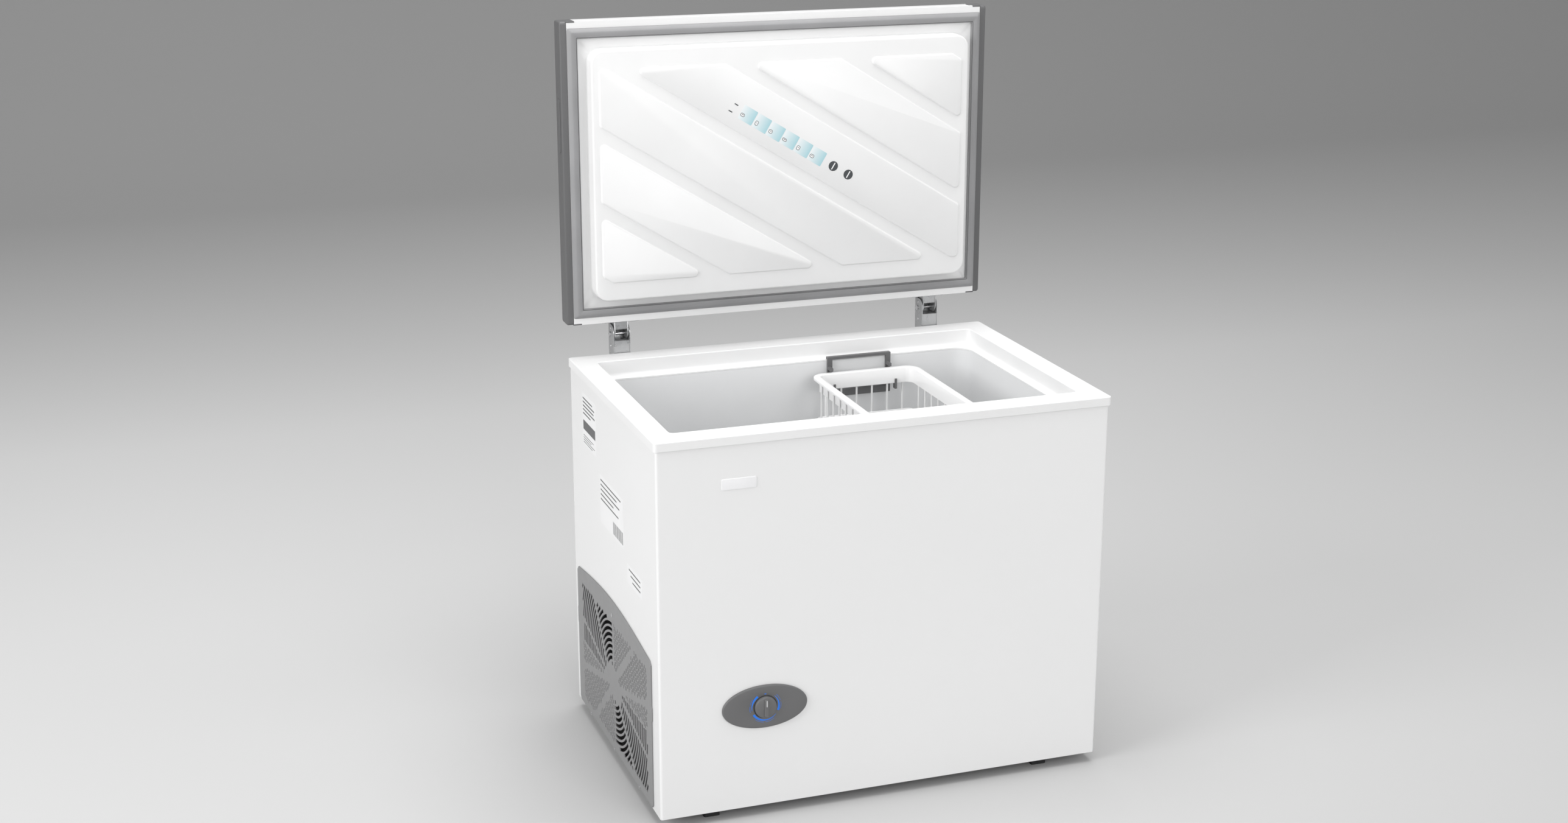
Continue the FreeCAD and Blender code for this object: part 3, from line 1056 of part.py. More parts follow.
def wire_cage():
    """U-shaped wires both ways and two rings, welded where they cross."""
    radius = value("wire")
    ring_in = value("rim_ring") - value("rim_wall") - radius - 0.3
    half_x = value("basket_width") / 2 - ring_in
    length = value("depth") - 2 * value("collar_end") - 2 * value("ledge") - 2 * value("basket_play")
    half_y = length / 2 - ring_in
    top = -value("rim_lip") - 0.2
    low = -value("basket_depth")
    bend = value("wire_bend")
    pitch = value("wire_pitch")
    sink = 0.5
    wires = []
    count = int((half_x - 18.0) // pitch + 0.5)
    for index in range(-count - 1, count + 1):
        x = (index + 0.5) * pitch
        wires.append(tube([(x, -half_y, top), (x, -half_y, low), (x, half_y, low), (x, half_y, top)],
                          bend, radius))
    count = int((half_y - 18.0) // pitch)
    under = low + 2 * radius - sink
    for index in range(-count, count + 1):
        y = index * pitch
        wires.append(tube([(-half_x, y, top), (-half_x, y, under), (half_x, y, under), (half_x, y, top)],
                          bend, radius))
    inset = 2 * radius - sink
    z = -value("mid_ring_drop")
    x, y = half_x - inset, half_y - inset
    for side in (-x, x):
        wires.append(tube([(0, -y, z), (side, -y, z), (side, y, z), (0, y, z)], bend, radius))
    cage = wires[0].multiFuse(wires[1:])
    return flat_sections(cage, half_x - bend, half_y - bend - radius)


def flat_sections(cage, side_x, end_y):
    """The cage in its five flat parts, which meet face to face: two sides, two ends and a floor."""
    far = 1000.0
    spans = [(-far, -side_x, -far, far), (side_x, far, -far, far), (-side_x, side_x, -far, -end_y),
             (-side_x, side_x, end_y, far), (-side_x, side_x, -end_y, end_y)]
    blocks = [Part.makeBox(high_x - low_x, high_y - low_y, 2 * far, Vector(low_x, low_y, -far))
              for low_x, high_x, low_y, high_y in spans]
    return Part.makeCompound([solid for block in blocks for solid in cage.common(block).Solids])


def clips():
    """Four J-shaped clips on the rim's band, which ride with the basket."""
    made = []
    for end, sign in (("back", "1"), ("front", "-1")):
        edge = f"({MIDDLE} + {sign} * {BASKET_LENGTH} / 2)"
        for way, x in (("a", "basket_x - hanger_width / 2"),
                       ("b", "basket_x + hanger_width / 2 - clip_width")):
            finger_y = f"{edge} - {sign} * (rim_ring + 1.5 + gap) - 1.5"
            finger = box(f"clip_finger_{end}_{way}", x, finger_y, f"{RIM_TOP} - rim_band - 12", "clip_width",
                         "3", "22")
            foot_y = (f"{edge} - {sign} * (rim_ring / 2 + shelf_reach / 2 + 2)"
                      " - (rim_ring - shelf_reach + 1) / 2")
            foot = box(f"clip_foot_{end}_{way}", x, foot_y, f"{RIM_TOP} - rim_band - 12", "clip_width",
                       "rim_ring - shelf_reach + 1", "12 - gap")
            made.append(join(f"clip_{end}_{way}", [finger, foot]))
    return group("clip_group", made)


def hanger(name, sign):
    """Plastic frame that hooks over the ledge and carries the rim on two upturned fingers."""
    wall_y = f"({MIDDLE} + {sign} * ({CAVITY_DEPTH} / 2 - gap))"
    rim_y = f"({MIDDLE} + {sign} * {BASKET_LENGTH} / 2)"

    def slab(tag, x, near, far, low, high, wide):
        """A block between two depths, whichever end of the basket it is at."""
        start = near if sign == "-1" else far
        return box(f"{name}_{tag}", x, start, low, wide, f"abs({near} - {far})", f"{high} - {low}")

    left = "basket_x - hanger_width / 2"
    right = "basket_x + hanger_width / 2 - hanger_leg"
    bottom = f"({TOP} - hanger_bottom)"
    hook_top = f"({LEDGE_Z} + hook_rise)"
    inner_y = f"({wall_y} - {sign} * hanger_sheet)"
    over_y = f"({wall_y} + {sign} * (ledge - cove + 1.5))"
    shelf_y = f"({rim_y} - {sign} * shelf_reach)"
    pieces = [
        slab("top", left, wall_y, inner_y, f"({hook_top} - 6)", hook_top, "hanger_width"),
        slab("lip", left, over_y, inner_y, f"({LEDGE_Z} + gap)", hook_top, "hanger_width"),
        slab("bar", left, wall_y, inner_y, bottom, f"({bottom} + hanger_bar)", "hanger_width"),
    ]
    for tag, x in (("l", left), ("r", right)):
        pieces.append(slab("leg_" + tag, x, wall_y, inner_y, bottom, hook_top, "hanger_leg"))
        pieces.append(slab("shelf_" + tag, x, inner_y, shelf_y, f"({RIM_TOP} - rim_lip - gap - 5)",
                           f"({RIM_TOP} - rim_lip - gap)", "hanger_leg"))
        pieces.append(slab("nub_" + tag, x, inner_y, f"({rim_y} + {sign} * 1)", f"({RIM_TOP} + gap)",
                           f"({RIM_TOP} + 7)", "hanger_leg / 2"))
    return join(name + "_hanger_join", pieces)


# ---- build, check and write --------------------------------------------------------------------
def check(thing):
    """Stop if a feature failed or a finished piece has no valid shape."""
    if "Invalid" in thing.State or "Error" in thing.State:
        raise RuntimeError(f"{thing.Label} failed: {thing.State}")
    if thing in NODES and (thing.Shape.isNull() or not thing.Shape.isValid()):
        raise RuntimeError(f"{thing.Label} has no valid shape")


def main():
    os.makedirs("parts", exist_ok=True)
    for make in (outer_shell, collar, liner_tub, insulation, sheet_work, feet, side_grille, controls,
                 compressor, pipework):
        make()
    for side, sign in (("left", "-1"), ("right", "1")):
        hinge(side, sign)
    for make in (hinge_fasteners, lid, basket):
        make()
    doc.recompute()
    for thing in doc.Objects:
        check(thing)
    for thing in NODES:
        thing.Shape.exportStep(f"parts/{thing.Label}.step")
    print(len(NODES), "pieces written")


main()
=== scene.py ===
"""Looks of the chest freezer: materials, detailed pieces, camera and light.

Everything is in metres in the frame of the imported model: +X right, +Y back, +Z up.
"""
import json
import math

import bmesh
import bpy
from mathutils import Matrix, Vector
from mathutils.geometry import delaunay_2d_cdt


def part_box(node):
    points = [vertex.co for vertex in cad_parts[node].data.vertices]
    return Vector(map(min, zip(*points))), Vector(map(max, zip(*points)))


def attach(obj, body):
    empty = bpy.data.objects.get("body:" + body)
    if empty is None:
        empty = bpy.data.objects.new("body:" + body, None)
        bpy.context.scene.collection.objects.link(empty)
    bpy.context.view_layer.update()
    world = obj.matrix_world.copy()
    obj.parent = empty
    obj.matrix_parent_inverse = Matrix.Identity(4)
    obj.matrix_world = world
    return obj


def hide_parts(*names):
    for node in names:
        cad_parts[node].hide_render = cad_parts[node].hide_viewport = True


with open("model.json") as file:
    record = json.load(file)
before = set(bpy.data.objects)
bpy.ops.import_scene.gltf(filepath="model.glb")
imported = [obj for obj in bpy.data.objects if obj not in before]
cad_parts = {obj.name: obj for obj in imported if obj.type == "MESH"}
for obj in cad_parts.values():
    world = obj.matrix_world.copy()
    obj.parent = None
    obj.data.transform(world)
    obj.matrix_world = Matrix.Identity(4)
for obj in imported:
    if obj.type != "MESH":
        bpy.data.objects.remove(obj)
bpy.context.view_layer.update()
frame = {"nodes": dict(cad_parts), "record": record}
NODES = frame["nodes"]
MM = 0.001


# ---- materials ---------------------------------------------------------------------------------
def shader(name, colour, roughness, metallic=0.0, coat=0.0):
    """A new material. Returns it with its node tree, its shader node and its object coordinates."""
    material = bpy.data.materials.new(name)
    material.use_nodes = True
    tree = material.node_tree
    principled = tree.nodes["Principled BSDF"]
    principled.inputs["Base Color"].default_value = (*colour, 1)
    principled.inputs["Roughness"].default_value = roughness
    principled.inputs["Metallic"].default_value = metallic
    principled.inputs["Coat Weight"].default_value = coat
    place = tree.nodes.new("ShaderNodeTexCoord").outputs["Object"]
    return material, tree, principled, place


def noise(tree, place, scale, detail=3.0, stretch=(1, 1, 1)):
    """A noise pattern's value, in cells per metre."""
    mapping = tree.nodes.new("ShaderNodeMapping")
    mapping.inputs["Scale"].default_value = stretch
    tree.links.new(place, mapping.inputs["Vector"])
    texture = tree.nodes.new("ShaderNodeTexNoise")
    texture.inputs["Scale"].default_value = scale
    texture.inputs["Detail"].default_value = detail
    tree.links.new(mapping.outputs["Vector"], texture.inputs["Vector"])
    return texture.outputs["Fac"]


def ramp(tree, value, low, high, start=0.35, end=0.65):
    """A colour that goes from low to high as a pattern's value rises."""
    node = tree.nodes.new("ShaderNodeValToRGB")
    first, last = node.color_ramp.elements
    first.position, last.position = start, end
    first.color, last.color = (*low, 1), (*high, 1)
    tree.links.new(value, node.inputs["Fac"])
    return node.outputs["Color"]


def vary(tree, principled, value, colour, amount):
    """Let the base colour drift a little with a pattern."""
    low = [c * (1 - amount) for c in colour]
    high = [min(1.0, c * (1 + amount)) for c in colour]
    tree.links.new(ramp(tree, value, low, high), principled.inputs["Base Color"])


def polish(tree, principled, value, low, high):
    """Let the roughness drift between two values with a pattern."""
    spread = tree.nodes.new("ShaderNodeMapRange")
    spread.inputs["To Min"].default_value = low
    spread.inputs["To Max"].default_value = high
    tree.links.new(value, spread.inputs["Value"])
    tree.links.new(spread.outputs["Result"], principled.inputs["Roughness"])


def relief(tree, principled, value, height, strength=1.0):
    """A fine surface relief of a height in metres."""
    bump = tree.nodes.new("ShaderNodeBump")
    bump.inputs["Distance"].default_value = height
    bump.inputs["Strength"].default_value = strength
    tree.links.new(value, bump.inputs["Height"])
    tree.links.new(bump.outputs["Normal"], principled.inputs["Normal"])


def enamel(name, colour, roughness=0.3, peel=0.000006):
    """Baked paint on sheet steel: faint orange peel under a clear gloss."""
    material, tree, principled, place = shader(name, colour, roughness, coat=0.2)
    vary(tree, principled, noise(tree, place, 1.6), colour, 0.006)
    polish(tree, principled, noise(tree, place, 6), roughness * 0.92, roughness * 1.08)
    relief(tree, principled, noise(tree, place, 420, 1), peel)
    return material


def plastic(name, colour, roughness=0.42, grain=0.00001, scale=1500, drift=0.012):
    """Moulded plastic: a fine spark-eroded grain and slow colour drift."""
    material, tree, principled, place = shader(name, colour, roughness)
    vary(tree, principled, noise(tree, place, 7), colour, drift)
    polish(tree, principled, noise(tree, place, 40), roughness * 0.9, roughness * 1.1)
    relief(tree, principled, noise(tree, place, scale, 2), grain)
    return material


def rubber(name, colour, roughness=0.7, drift=0.05):
    """Rubber or soft vinyl: dull, with a trace of mould dust."""
    material, tree, principled, place = shader(name, colour, roughness)
    vary(tree, principled, noise(tree, place, 9, 4), colour, drift)
    polish(tree, principled, noise(tree, place, 30), roughness * 0.9, roughness * 1.1)
    relief(tree, principled, noise(tree, place, 900, 3), 0.00002)
    return material


def galvanised(name, colour=(0.46, 0.465, 0.47), roughness=0.3):
    """Zinc-coated sheet with its crystal spangle."""
    material, tree, principled, place = shader(name, colour, roughness, metallic=0.75)
    cells = tree.nodes.new("ShaderNodeTexVoronoi")
    cells.inputs["Scale"].default_value = 140
    tree.links.new(place, cells.inputs["Vector"])
    grey = tree.nodes.new("ShaderNodeRGBToBW")
    tree.links.new(cells.outputs["Color"], grey.inputs["Color"])
    low, high = [c * 0.96 for c in colour], [c * 1.03 for c in colour]
    tree.links.new(ramp(tree, grey.outputs["Val"], low, high, 0.2, 0.8), principled.inputs["Base Color"])
    polish(tree, principled, grey.outputs["Val"], roughness * 0.85, roughness * 1.15)
    relief(tree, principled, noise(tree, place, 300, 4), 0.00001)
    return material


def drawn_metal(name, colour, roughness=0.25, stretch=(1, 1, 12), streaks=260):
    """Drawn or machined metal with fine streaks along its length."""
    material, tree, principled, place = shader(name, colour, roughness, metallic=1.0)
    lines = noise(tree, place, streaks, 4, stretch)
    vary(tree, principled, lines, colour, 0.08)
    polish(tree, principled, lines, roughness * 0.7, roughness * 1.4)
    relief(tree, principled, lines, 0.00002)
    return material


def copper(name):
    """Copper tube, dulled in patches."""
    material, tree, principled, place = shader(name, (0.62, 0.30, 0.17), 0.35, metallic=1.0)
    patches = noise(tree, place, 45, 6)
    tree.links.new(ramp(tree, patches, (0.38, 0.17, 0.10), (0.72, 0.38, 0.22)),
                   principled.inputs["Base Color"])
    polish(tree, principled, patches, 0.25, 0.55)
    relief(tree, principled, noise(tree, place, 800, 3), 0.00004)
    return material


def foam(name):
    """Cut polyurethane foam: pale yellow with open cells."""
    material, tree, principled, place = shader(name, (0.82, 0.74, 0.52), 0.9)
    cells = tree.nodes.new("ShaderNodeTexVoronoi")
    cells.inputs["Scale"].default_value = 420
    tree.links.new(place, cells.inputs["Vector"])
    vary(tree, principled, noise(tree, place, 12, 5), (0.82, 0.74, 0.52), 0.08)
    relief(tree, principled, cells.outputs["Distance"], 0.0006)
    return material


def printed(name, low, high, way=(0, 0, 1), start=0.0, length=4.0):
    """Ink on film that fades between two colours along a direction, again and again."""
    material, tree, principled, place = shader(name, low, 0.35, coat=0.3)
    along = tree.nodes.new("ShaderNodeVectorMath")
    along.operation = "DOT_PRODUCT"
    along.inputs[1].default_value = way
    tree.links.new(place, along.inputs[0])
    spread = tree.nodes.new("ShaderNodeMapRange")
    spread.clamp = False
    spread.inputs["From Min"].default_value = start
    spread.inputs["From Max"].default_value = start + length
    tree.links.new(along.outputs["Value"], spread.inputs["Value"])
    turn = tree.nodes.new("ShaderNodeMath")
    turn.operation = "FRACT"
    tree.links.new(spread.outputs["Result"], turn.inputs[0])
    tree.links.new(ramp(tree, turn.outputs["Value"], low, high, 0.0, 1.0), principled.inputs["Base Color"])
    relief(tree, principled, noise(tree, place, 600, 2), 0.000005)
    return material


WHITE = (0.79, 0.79, 0.79)
LOOKS = {
    "white_enamel": enamel("white_enamel", WHITE),
    "white_plastic": plastic("white_plastic", (0.78, 0.78, 0.78), 0.5),
    "liner_plastic": plastic("liner_plastic", (0.72, 0.725, 0.73), 0.33),
    "white_wire": enamel("white_wire", (0.80, 0.80, 0.80), 0.3),
    "dark_grey_plastic": plastic("dark_grey_plastic", (0.115, 0.115, 0.117), 0.5),
    "mid_grey_plastic": plastic("mid_grey_plastic", (0.13, 0.13, 0.132), 0.45),
    "grille_grey_plastic": plastic("grille_grey_plastic", (0.25, 0.25, 0.252), 0.5),
    "gasket_vinyl": rubber("gasket_vinyl", (0.27, 0.27, 0.275), 0.5),
    "magnet_strip": rubber("magnet_strip", (0.02, 0.02, 0.02)),
    "foam": foam("foam"),
    "galvanised_steel": galvanised("galvanised_steel"),
    "bright_steel": drawn_metal("bright_steel", (0.68, 0.68, 0.69)),
    "black_enamel": enamel("black_enamel", (0.012, 0.012, 0.014), 0.3, 0.00003),
    "black_rubber": rubber("black_rubber", (0.02, 0.02, 0.021)),
    "black_plastic": plastic("black_plastic", (0.02, 0.02, 0.022), 0.5),
    "copper_tube": copper("copper_tube"),
    "badge_white": enamel("badge_white", (0.84, 0.84, 0.85), 0.2),
    "hanger_web": plastic("hanger_web", (0.20, 0.20, 0.203), 0.5),
}
SLANT = math.radians(31.7)
ALONG = Vector((math.cos(SLANT), -math.sin(SLANT)))
ACROSS = Vector((math.sin(SLANT), math.cos(SLANT)))
TILE_PITCH = 35.6 * MM
FIRST_TILE = Vector((-82.3, 1268.6)) * MM
INK = {
    "blue": printed("blue_ink", (0.0, 0.17, 0.80), (0.0, 0.20, 0.88), start=0.15, length=0.16),
    "grey": printed("grey_ink", (0.035, 0.037, 0.04), (0.05, 0.052, 0.055)),
    "film": printed("label_film", (0.84, 0.84, 0.845), (0.88, 0.88, 0.88)),
    "teal": printed("teal_ink", (0.80, 0.83, 0.84), (0.36, 0.60, 0.66), (ALONG.x, 0, ALONG.y),
                    FIRST_TILE.dot(ALONG) - TILE_PITCH / 2, TILE_PITCH),
    "dark": printed("dark_ink", (0.05, 0.055, 0.06), (0.07, 0.075, 0.08)),
}


def dress_frame():
    """Give every CAD node the look of its slot in the record."""
    for part in frame["record"]["subparts"]:
        piece = NODES[part["node"]]
        piece.data.materials.clear()
        piece.data.materials.append(LOOKS[part["material_slot"]])


def soft_edges(node, width):
    """A narrow bevel along the sharp edges of one CAD node, so that they catch the light."""
    bevel = NODES[node].modifiers.new("soft_edges", "BEVEL")
    bevel.width = width
    bevel.segments = 2
    bevel.limit_method = "ANGLE"
    bevel.angle_limit = math.radians(40)


# ---- mesh helpers ------------------------------------------------------------------------------
def piece_from(shape, name, look, body, replaced=(), smooth=True):
    """Turn a finished bmesh into a piece that rides on a body."""
    bmesh.ops.recalc_face_normals(shape, faces=shape.faces)
    for face in shape.faces:
        face.smooth = smooth
    mesh = bpy.data.meshes.new(name)
    shape.to_mesh(mesh)
    shape.free()
    if smooth:
        mesh.set_sharp_from_angle(angle=math.radians(38))
    mesh.materials.append(look)
    made = bpy.data.objects.new(name, mesh)
    bpy.context.scene.collection.objects.link(made)
    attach(made, body)
    if replaced:
        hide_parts(*replaced)
    return made


def film(shape, outline, back, face):
    """A thin flat patch that faces the front, from its buried edge to its visible face."""
    skin(shape, [upright(outline, back), upright(outline, face)], close_last=True)


def rounded(corners, radius, steps=6):
    """A closed outline with every corner of a polygon rounded to one radius."""
    made = []
    count = len(corners)
    for index in range(count):
        corner = Vector(corners[index])
        into = (corner - Vector(corners[index - 1])).normalized()
        out = (Vector(corners[(index + 1) % count]) - corner).normalized()
        turn = into.angle(out)
        reach = radius * math.tan(turn / 2)
        start = corner - into * reach
        centre = corner + (out - into).normalized() * (radius / math.cos(turn / 2))
        arm = start - centre
        way = 1 if into.x * out.y - into.y * out.x > 0 else -1
        for step in range(steps + 1):
            swing = way * turn * step / steps
            made.append(centre + Matrix.Rotation(swing, 2) @ arm)
    return made


def inset(corners, distance):
    """A convex polygon, anticlockwise, with each side moved inwards."""
    count = len(corners)
    lines = []
    for index in range(count):
        start, end = Vector(corners[index]), Vector(corners[(index + 1) % count])
        along = (end - start).normalized()
        lines.append((start + Vector((-along.y, along.x)) * distance, along))
    made = []
    for index in range(count):
        (p, d), (q, e) = lines[index - 1], lines[index]
        cross = d.x * e.y - d.y * e.x
        step = ((q.x - p.x) * e.y - (q.y - p.y) * e.x) / cross
        made.append(p + d * step)
    return made


def clip(corners, normal, limit):
    """The part of a polygon where the distance along a normal is under a limit."""
    made = []
    for index, corner in enumerate(corners):
        before = Vector(corners[index - 1])
        after = Vector(corner)
        low, high = before.dot(normal) - limit, after.dot(normal) - limit
        if low * high < 0:
            made.append(before + (after - before) * (low / (low - high)))
        if high <= 0:
            made.append(after)
    return made


def rectangle(low, high):
    """The four corners of a rectangle, anticlockwise."""
    return [(low[0], low[1]), (high[0], low[1]), (high[0], high[1]), (low[0], high[1])]


def skin(shape, loops, close_first=False, close_last=False, around=False):
    """Skin closed loops of equally many points."""
    rows = [[shape.verts.new(point) for point in loop] for loop in loops]
    pairs = list(zip(rows, rows[1:]))
    if around:
        pairs.append((rows[-1], rows[0]))
    for row, following in pairs:
        for index in range(len(row)):
            shape.faces.new((row[index - 1], row[index], following[index], following[index - 1]))
    for wanted, row in ((close_first, rows[0]), (close_last, rows[-1])):
        if wanted:
            shape.faces.new(row)


def upright(points, y):
    """Points of a plane outline as points in the frame, at one depth."""
    return [Vector((p.x, y, p.y)) for p in points]


def level(points, z):
    """Points of a plane outline as points in the frame, at one height."""
    return [Vector((p.x, p.y, z)) for p in points]


def sideways(points, x):
    """Points of a plane outline as points in the frame, at one place across."""
    return [Vector((x, p.x, p.y)) for p in points]


def raised(shape, corners, radius, lift, stages, steps=6):
    """A raised field with a rounded shoulder: stages are pairs of inset and height."""
    loops = []
    for shrink, height in stages:
        loops.append(lift(rounded(inset(corners, shrink), max(radius - shrink, 0.0002), steps), height))
    skin(shape, loops, close_last=True)


def block(shape, low, high):
    """A plain box added to a bmesh that gets soft edges later."""
    made = bmesh.ops.create_cube(shape, size=1)["verts"]
    size = Vector(high) - Vector(low)
    middle = (Vector(high) + Vector(low)) / 2
    for vert in made:
        vert.co = Vector(c * s for c, s in zip(vert.co, size)) + middle
    return made


def bevelled(shape, width, segments=2):
    """Round the sharp edges of everything in a bmesh."""
    edges = [e for e in shape.edges if e.is_manifold and e.calc_face_angle(0) > math.radians(30)]
    bmesh.ops.bevel(shape, geom=edges, offset=width, segments=segments, affect="EDGES", profile=0.6)


# ---- lid ---------------------------------------------------------------------------------------
PLUG_HALF = 410.5 * MM
PLUG_START, PLUG_END = 84.8 * MM, 599.3 * MM
PAD_SIDE, PAD_END = 15.5 * MM, 38 * MM
PAD_PITCH, PAD_CHANNEL = 131.4 * MM, 24 * MM
SMALLEST_PAD = 60 * MM
PLUG_STAGES = [(-3, 0), (-1.4, 0.6), (-0.3, 2.2), (0, 5), (0.6, 28), (0.9, 33.2), (1.6, 35.2), (2.9, 36.4),
               (4.6, 36.7)]
PAD_STAGES = [(-0.6, -0.6), (0, 0.1), (0.3, 0.6), (2.2, 2.7), (3, 3)]
GRIP_LOW, GRIP_HIGH = 1202.8 * MM, 1312.8 * MM


def lid_corners(low, high):
    """The corners of an upright rectangle between two frame points."""
    return rectangle((low.x, low.z), (high.x, high.z))


def lid_panel():
    """White inner panel of the lid: flat rim, hollow plug with soft corners and slanting pads."""
    low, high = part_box("lid_inner_panel")
    pin = Vector(next(j["pos_m"] for j in frame["record"]["behaviour"]["joints"]
                      if j["name"] == "lid_hinge"))
    near, far = pin.z + PLUG_START, pin.z + PLUG_END
    ring_y = high.y - 2 * MM
    face_y = low.y + 3 * MM
    shape = bmesh.new()
    rim = rectangle((low.x, low.z), (high.x, high.z))
    plug = rectangle((-PLUG_HALF, near), (PLUG_HALF, far))
    skin(shape, [upright(rounded(rim, 1 * MM), high.y), upright(rounded(rim, 1 * MM), ring_y),
                 upright(rounded(inset(plug, -3 * MM), 31 * MM), ring_y)], close_first=True)
    raised(shape, plug, 28 * MM, lambda loop, rise: upright(loop, ring_y - rise),
           [(a * MM, b * MM) for a, b in PLUG_STAGES], steps=8)
    bmesh.ops.remove_doubles(shape, verts=shape.verts, dist=0.00002)
    middle = Vector((0, (near + far) / 2))
    field = inset(plug, PAD_SIDE)
    field = clip(clip(field, Vector((0, 1)), far - PAD_END), Vector((0, -1)), -(near + PAD_END))
    for index in range(-4, 4):
        start = middle.dot(ACROSS) + index * PAD_PITCH + PAD_CHANNEL / 2
        strip = clip(clip(field, ACROSS, start + PAD_PITCH - PAD_CHANNEL), -ACROSS, -start)
        if len(strip) < 3:
            continue
        size = Vector((max(p.x for p in strip) - min(p.x for p in strip),
                       max(p.y for p in strip) - min(p.y for p in strip)))
        if min(size) > SMALLEST_PAD:
            raised(shape, strip, 9 * MM, lambda loop, rise: upright(loop, face_y - rise),
                   [(a * MM, b * MM) for a, b in PAD_STAGES])
    return piece_from(shape, "lid_panel_moulding", LOOKS["white_plastic"], "lid",
                      ("lid_inner_panel",))


def gasket():
    """Grey vinyl gasket: a sloping outer flank, a flat magnet band and a lip along the inside."""
    low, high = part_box("lid_gasket")
    outline = lid_corners(low, high)
    ring_y = high.y
    shape = bmesh.new()
    loops = []
    for shrink, rise in ((0.4, 0), (0.0, 1.6), (0.8, 2.6), (6.6, 8.0), (7.8, 8.5), (9, 8.6), (17.2, 8.6),
                         (17.9, 8.0), (18.0, 5.6), (18.7, 5.6), (18.8, 8.0), (19.3, 8.4), (20, 7.6), (20, 0)):
        corner = max(4.0 - shrink * 0.1, 1.0) * MM
        loops.append(upright(rounded(inset(outline, shrink * MM), corner, 4), ring_y - rise * MM))
    skin(shape, loops, around=True)
    return piece_from(shape, "lid_gasket_profile", LOOKS["gasket_vinyl"], "lid",
                      ("lid_gasket",))


def lid_caps():
    """Grey end caps with round corners, a grip, and short tongues over the white edge profiles."""
    for side, sign in (("left", -1), ("right", 1)):
        low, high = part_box("lid_cap_" + side)
        near_x, far_x = (high.x, low.x + 1.5 * MM) if sign < 0 else (low.x, high.x - 1.5 * MM)
        shape = bmesh.new()
        outline = rectangle((low.y, low.z), (high.y, high.z))
        loops = []
        for shrink, out in ((0, 0), (0, 0.72), (0.6, 0.88), (1.8, 0.97), (3.4, 1.0)):
            loops.append(sideways(rounded(inset(outline, shrink * MM), (7 - shrink) * MM, 6),
                                  near_x + (far_x - near_x) * out))
        skin(shape, loops, close_first=True, close_last=True)
        grip = rectangle((low.y + 11.5 * MM, GRIP_LOW), (high.y - 11.5 * MM, GRIP_HIGH))
        raised(shape, grip, 6 * MM, lambda loop, rise: sideways(loop, far_x + sign * rise),
               [(0, -1 * MM), (0, 0.8 * MM), (0.7 * MM, 1.5 * MM)])
        piece_from(shape, f"lid_cap_{side}_shell", LOOKS["dark_grey_plastic"], "lid",
                   (f"lid_cap_{side}",))
        shape = bmesh.new()
        for edge_low, edge_high in ((high.z - 2.6 * MM, high.z + 0.2 * MM),
                                    (low.z - 0.2 * MM, low.z + 2.6 * MM)):
            ends = sorted((near_x + sign * 1 * MM, near_x - sign * 17 * MM))
            block(shape, (ends[0], low.y - 0.5 * MM, edge_low), (ends[1], high.y - 8 * MM, edge_high))
        bevelled(shape, 0.6 * MM)
        piece_from(shape, f"lid_cap_{side}_tongues", LOOKS["dark_grey_plastic"], "lid")


def food_decal():
    """Film on the central pad: six tinted fields in a slanting row, two round marks and two bars."""
    low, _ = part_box("lid_inner_panel")
    film_y = low.y - 0.15 * MM
    tinted, marks, icons = bmesh.new(), bmesh.new(), bmesh.new()

    def tile(shape, centre, width, height, corner, proud=0.0):
        corners = [centre + ALONG * (a * width * MM / 2) + ACROSS * (b * height * MM / 2)
                   for a, b in ((-1, -1), (1, -1), (1, 1), (-1, 1))]
        outline = rounded(corners, corner * MM, 4)
        film(shape, outline, low.y + 0.2 * MM, film_y - proud * MM)

    for index in range(6):
        centre = FIRST_TILE + ALONG * (TILE_PITCH * index)
        tile(tinted, centre, 34, 31.3, 2)
        picture = centre - ALONG * (10.4 * MM) - ACROSS * (5 * MM)
        width, height = (10, 7.5, 9, 11, 8, 10)[index], (7, 10, 8, 6.5, 9.5, 7.5)[index]
        tile(marks, picture, width, height, 3, 0.1)
        tile(icons, picture, width - 2, height - 2, 2.2, 0.2)
        tile(marks, picture + ACROSS * (0.6 * MM), width - 5, 1, 0.4, 0.3)
    for place in ((105.5, 1152.1), (138.9, 1132.1)):
        centre = Vector(place) * MM
        tile(marks, centre, 21, 21, 10.4, 0.1)
        tile(icons, centre, 2.2, 16, 1, 0.2)
    for place in ((-106.8, 1291.6), (-119.9, 1278.6)):
        tile(marks, Vector(place) * MM, 9, 2.2, 0.6, 0.1)
    piece_from(tinted, "decal_fields", INK["teal"], "lid", smooth=False)
    piece_from(marks, "decal_marks", INK["dark"], "lid", smooth=False)
    piece_from(icons, "decal_icons", INK["film"], "lid", smooth=False)


# ---- cabinet front and left side ---------------------------------------------------------------
def ellipse(half_u, half_v, count=96):
    """Points of an ellipse about the origin, anticlockwise."""
    return [Vector((half_u * math.cos(2 * math.pi * i / count), half_v * math.sin(2 * math.pi * i / count)))
            for i in range(count)]


